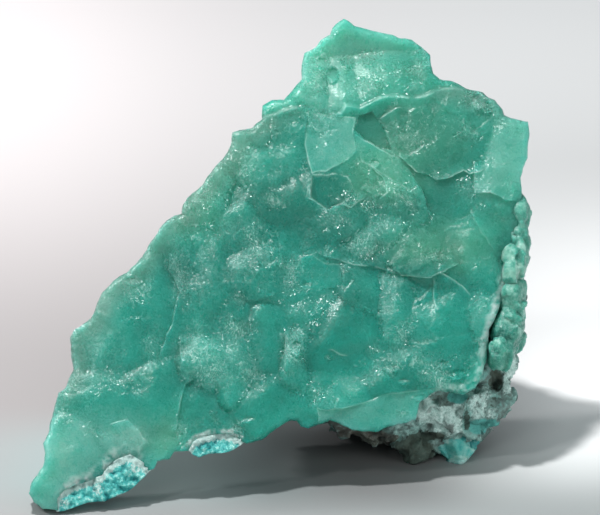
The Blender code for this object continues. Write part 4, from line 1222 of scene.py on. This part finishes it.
def paper_finish():
    """Pale paper with painted light and shade: bright patches, painted shadows, a painted green
    glow under the tip.
    """
    finish = Finish("pale paper", Roughness=0.75)
    at = finish.place()
    x = finish.node("SeparateXYZ", {}, {0: at}, "X")
    y = finish.node("SeparateXYZ", {}, {0: at}, "Y")
    # Painted light and shade on the paper: it is painted lighter far back, in a bright patch to
    # the right, to the upper left and in the cast shadow to the right; it is painted darker under
    # the object and under the arch; under the tip lies a painted green glow of light through the
    # crust.
    far = finish.step(y, 20.0, 290.0)
    near = finish.step(y, -70.0, -200.0)
    painted_light_pool = finish.step(x, -10.0, 75.0) * finish.band(y, -50.0, 50.0, 90.0, 200.0)
    painted_light_upper_left = finish.step(x, 20.0, -70.0) * finish.step(y, 60.0, 280.0)
    left = finish.step(x, -10.0, -60.0)
    under = finish.band(x, -20.0, 0.0, 25.0, 45.0) * finish.band(y, -45.0, -20.0, 5.0, 25.0)
    painted_light_in_shadow = finish.step(x, 34.0, 60.0) * finish.band(y, -40.0, 5.0, 30.0, 90.0)
    deep = finish.band(x, -10.0, 10.0, 28.0, 42.0) * finish.band(y, -8.0, 4.0, 20.0, 34.0)
    green = finish.band(x, -78.0, -40.0, -10.0, 20.0) * finish.band(y, -45.0, -15.0, 0.0, 32.0)
    # The paper's own grey is kept low near the object, a painted shade, and grows paler far in
    # front and a little to the left.
    share = 0.31 + far * 0.42 + near * 0.25 + painted_light_pool * 0.46 + painted_light_upper_left * 0.18 + left * 0.06
    share = share - under * 0.14 + painted_light_in_shadow * 0.28 - deep * 0.10 + green * 0.08
    # Warmer to the left; less red in front, a painted bluish tint of shade, and under the tip,
    # where the painted green glow falls.
    warm = finish.step(x, 60.0, -60.0) * 0.07
    painted_shade_and_glow_tint = finish.step(y, 20.0, -60.0) * 0.08 + green * 0.18
    grey = finish.node("CombineColor", {}, {
        0: share * (1.0 - painted_shade_and_glow_tint), 1: share * (1.0 - warm), 2: share * (1.0 - warm)})
    finish.feed(Base_Color=grey)
    return finish.material


def make_rinds():
    """The two blue rinds in their niches on the crust's lower edge."""
    material = rind_finish()
    for name, node, outline, seed in (
            ("tip_rind", "blue_rind_tip", TIP_RIND_OUTLINE, 201),
            ("middle_rind", "blue_rind_middle", MIDDLE_RIND_OUTLINE, 211)):
        middle = np.mean(outline, axis=0)
        grown = [tuple(middle + (np.array(p) - middle) * RIND_GROWTH) for p in outline]
        uv, w, faces = slab(
            grown, RIND_GRAIN, RIND_BACK_GRAIN, rind_front, rind_back, 0.3, seed)
        mesh = mesh_from(to_world(uv[:, 0], uv[:, 1], w), faces)
        floor_cut(mesh)
        rind = add_piece(name, mesh, material)
        u, v, w = sheet_places(rind)
        upper = depth_inside(u, v + 1.0, outline)
        belt = 0.75 * within(u, v, RIND_SKIN)
        skin = np.maximum(smooth(0.75 - upper / 1.5), belt)
        # The lumps mask also carries the painted highlight on their tops and painted shade in
        # their gaps.
        write_masks(rind, white=skin, lumps=rind_lumps(flat(u, v)))
        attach(rind, "root")
        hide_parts(node)


def remeshed(thing, grain):
    """The points and faces of a piece remade as an even mesh of small faces."""
    remesh = thing.modifiers.new("even faces", "REMESH")
    remesh.mode = "VOXEL"
    remesh.voxel_size = grain * MM
    evaluated = thing.evaluated_get(bpy.context.evaluated_depsgraph_get())
    mesh = bmesh.new()
    mesh.from_mesh(evaluated.to_mesh())
    bpy.data.objects.remove(thing)
    return mesh


def push_out(mesh, relief_of):
    """Moves each point along its normal by relief_of its place, in mm."""
    mesh.normal_update()
    places = point_places(mesh.verts) / MM
    normals = np.array([tuple(p.normal) for p in mesh.verts])
    move_points(mesh.verts, (places + normals * relief_of(places)[:, None]) * MM)


def rock_pits(at):
    """1 in the pits and crevices between the rock's lumps."""
    crevices = smooth((0.20 - grains(at, 4.2, 86)) / 0.20)
    return np.maximum(smooth((relief(at, 2.0, 85) - 0.35) / 0.35), crevices)


def rock_relief(at):
    """Broken, pitted and granular surface of the host rock."""
    broken = facets(at, 5.0, 0.42, 81) + facets(at, 2.3, 0.42, 82)
    granular = 0.35 * grains(at, 1.3, 83) + 0.20 * relief(at, 0.9, 84)
    return np.clip(broken, -1.6, 1.6) + granular - 1.3 * rock_pits(at) - 0.2


def lump_relief(at):
    """Broken faces and grains of the small rounded bodies."""
    faceted = np.clip(facets(at, 3.4, 0.5, 91), -0.6, 0.6)
    return 0.7 * faceted + 0.12 * grains(at, 1.3, 92) + 0.1 * relief(at, 2.0, 93) + 0.2


def press_flat(mesh, faces):
    """Moves what stands beyond any of the flat faces back onto it."""
    places = point_places(mesh.verts)
    origin = to_world(np.zeros(1), np.zeros(1), np.zeros(1))[0]
    for (u, v, behind), way_out in faces:
        front = float(rock_front(np.array([u]), np.array([v]))[0])
        on_face = to_world(np.array([u]), np.array([v]), np.array([front + behind]))[0]
        normal = to_world(*np.array(way_out)[:, None])[0] - origin
        normal /= np.linalg.norm(normal)
        beyond = np.maximum((places - on_face) @ normal, 0.0)
        places -= 0.95 * beyond[:, None] * normal
    move_points(mesh.verts, places)


def make_rock():
    """The host rock, remade with fine faces so that it can be broken and pitted."""
    uv, w, faces = slab(
        ROCK_OUTLINE, ROCK_CORE_GRAIN, ROCK_CORE_BACK_GRAIN, rock_front, rock_back, 2.6, 301)
    rough = add_piece("rock_core", mesh_from(to_world(uv[:, 0], uv[:, 1], w), faces), None)
    mesh = remeshed(rough, ROCK_GRAIN)
    push_out(mesh, rock_relief)
    floor_cut(mesh)
    rock = add_piece("pitted_host_rock", mesh, rock_finish())
    # Painted shade for the pits and crevices, from the same pits as the relief.
    sunk = rock_pits(point_places(rock.data.vertices) / MM)
    u, v, w = sheet_places(rock)
    near_crust = smooth(1.0 - (w - crust_back(u, v)) / 7.0)
    masks = np.array(ROCK_SHARES)[:, None] * np.ones(len(u))
    masks[1] = np.maximum(masks[1], 0.5 * near_crust)
    facing = smooth(1.5 - (w - rock_front(u, v)) / 5.0)
    for cu, cv, ru, rv, *shares in ROCK_PATCHES:
        share = smooth(1.6 - ellipse(u, v, cu, cv, ru, rv)) * facing
        masks += (np.array(shares)[:, None] - masks) * share
    write_masks(rock, sunk=sunk, **dict(zip(("white", "teal", "dark", "rust"), masks)))
    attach(rock, "root")
    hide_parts("host_rock")


def ball_cluster(balls):
    """Egg-shaped lumps in one mesh, ready to be fused."""
    mesh = bmesh.new()
    for u, v, behind, ru, rv, rw in balls:
        w = float(rock_front(np.array([u]), np.array([v]))[0]) + behind - BALL_SINK
        made = bmesh.ops.create_icosphere(mesh, subdivisions=4, radius=1.0)
        corners = point_places(made["verts"])
        corners *= 1.0 + 0.22 * relief(corners + (u, v, 0.0), 0.9, 31)[:, None]
        placed = to_world(u + corners[:, 0] * ru, v + corners[:, 1] * rv, w + corners[:, 2] * rw)
        move_points(made["verts"], placed)
    return mesh


def nearest_ball(thing, balls):
    """Which ball each point of a piece belongs to, and 1 on the seams between balls."""
    u, v, _ = sheet_places(thing)
    away = np.array([np.sqrt(ellipse(u, v, *ball[:2], *ball[3:5])) for ball in balls])
    first, second = np.sort(away, axis=0)[:2]
    return np.argmin(away, axis=0), 1.0 - smooth((second - first) / 0.6)


def make_lumps():
    """The turquoise knob and the teal lobes on the right edge."""
    turquoise = turquoise_finish(
        "turquoise", (24, 124, 126), (72, 176, 168), (156, 212, 202), 0.7)
    teal = turquoise_finish(
        "teal lobes", (34, 116, 102), (68, 150, 132), (146, 190, 174), 0.8)
    for name, node, slot, balls, tones, material in (
            ("turquoise_bleb", "turquoise_knob", "turquoise_smithsonite",
             KNOB_BALLS, KNOB_TONES, turquoise),
            ("teal_edge_lobes", "right_edge_lobes", "teal_smithsonite",
             EDGE_BALLS, EDGE_TONES, teal)):
        mesh = remeshed(add_piece(name + "_core", ball_cluster(balls), None), LUMP_GRAIN)
        for _ in range(LUMP_SMOOTHING):
            bmesh.ops.smooth_vert(mesh, verts=mesh.verts[:], factor=0.5)
        if balls is KNOB_BALLS:
            press_flat(mesh, KNOB_FACES)
        push_out(mesh, lump_relief)
        floor_cut(mesh)
        lump = add_piece(name, mesh, material)
        nearest, seam = nearest_ball(lump, balls)
        write_masks(lump, tone=np.array(tones)[nearest], seam=seam)
        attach(lump, "root")
        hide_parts(node)


def make_camera():
    """A long lens square to the leaning sheet, framed as the photograph is."""
    lens = bpy.data.cameras.new("camera")
    lens.sensor_width = SENSOR_WIDTH
    lens.lens = SENSOR_WIDTH * CAMERA_DISTANCE / PHOTO_WIDTH_MM
    lens.clip_end = 10.0
    camera = bpy.data.objects.new("camera", lens)
    place = np.array([[0.0], [PHOTO_CENTRE_V], [-CAMERA_DISTANCE]])
    camera.location = to_world(*place)[0]
    camera.rotation_euler = (radians(90 - SHEET_LEAN), 0.0, 0.0)
    bpy.context.scene.collection.objects.link(camera)
    bpy.context.scene.camera = camera


def area_light(name, place, size, power, glints):
    """A rectangular lamp aimed at the object."""
    lamp = bpy.data.lights.new(name, "AREA")
    lamp.shape = "RECTANGLE"
    lamp.size, lamp.size_y = size
    lamp.energy = power
    light = bpy.data.objects.new(name, lamp)
    light.visible_glossy = glints
    light.location = place
    aim = Vector(LAMP_AIM) - Vector(place)
    light.rotation_euler = aim.to_track_quat("-Z", "Y").to_euler()
    bpy.context.scene.collection.objects.link(light)


def make_studio():
    """Pale paper, a dim room, a lamp overhead, one behind and soft fills without glints."""
    scene = bpy.context.scene
    scene.view_settings.view_transform = "Standard"
    scene.world = bpy.data.worlds.new("room")
    scene.world.use_nodes = True
    room = scene.world.node_tree.nodes["Background"]
    room.inputs["Color"].default_value = ROOM_COLOUR
    room.inputs["Strength"].default_value = ROOM_LIGHT
    mesh = bmesh.new()
    bmesh.ops.create_grid(mesh, x_segments=1, y_segments=1, size=PAPER_REACH)
    add_piece("paper", mesh, paper_finish())
    for lamp in LAMPS:
        area_light(*lamp)


make_camera()
make_studio()
make_crust()
make_rinds()
make_lumps()
make_rock()
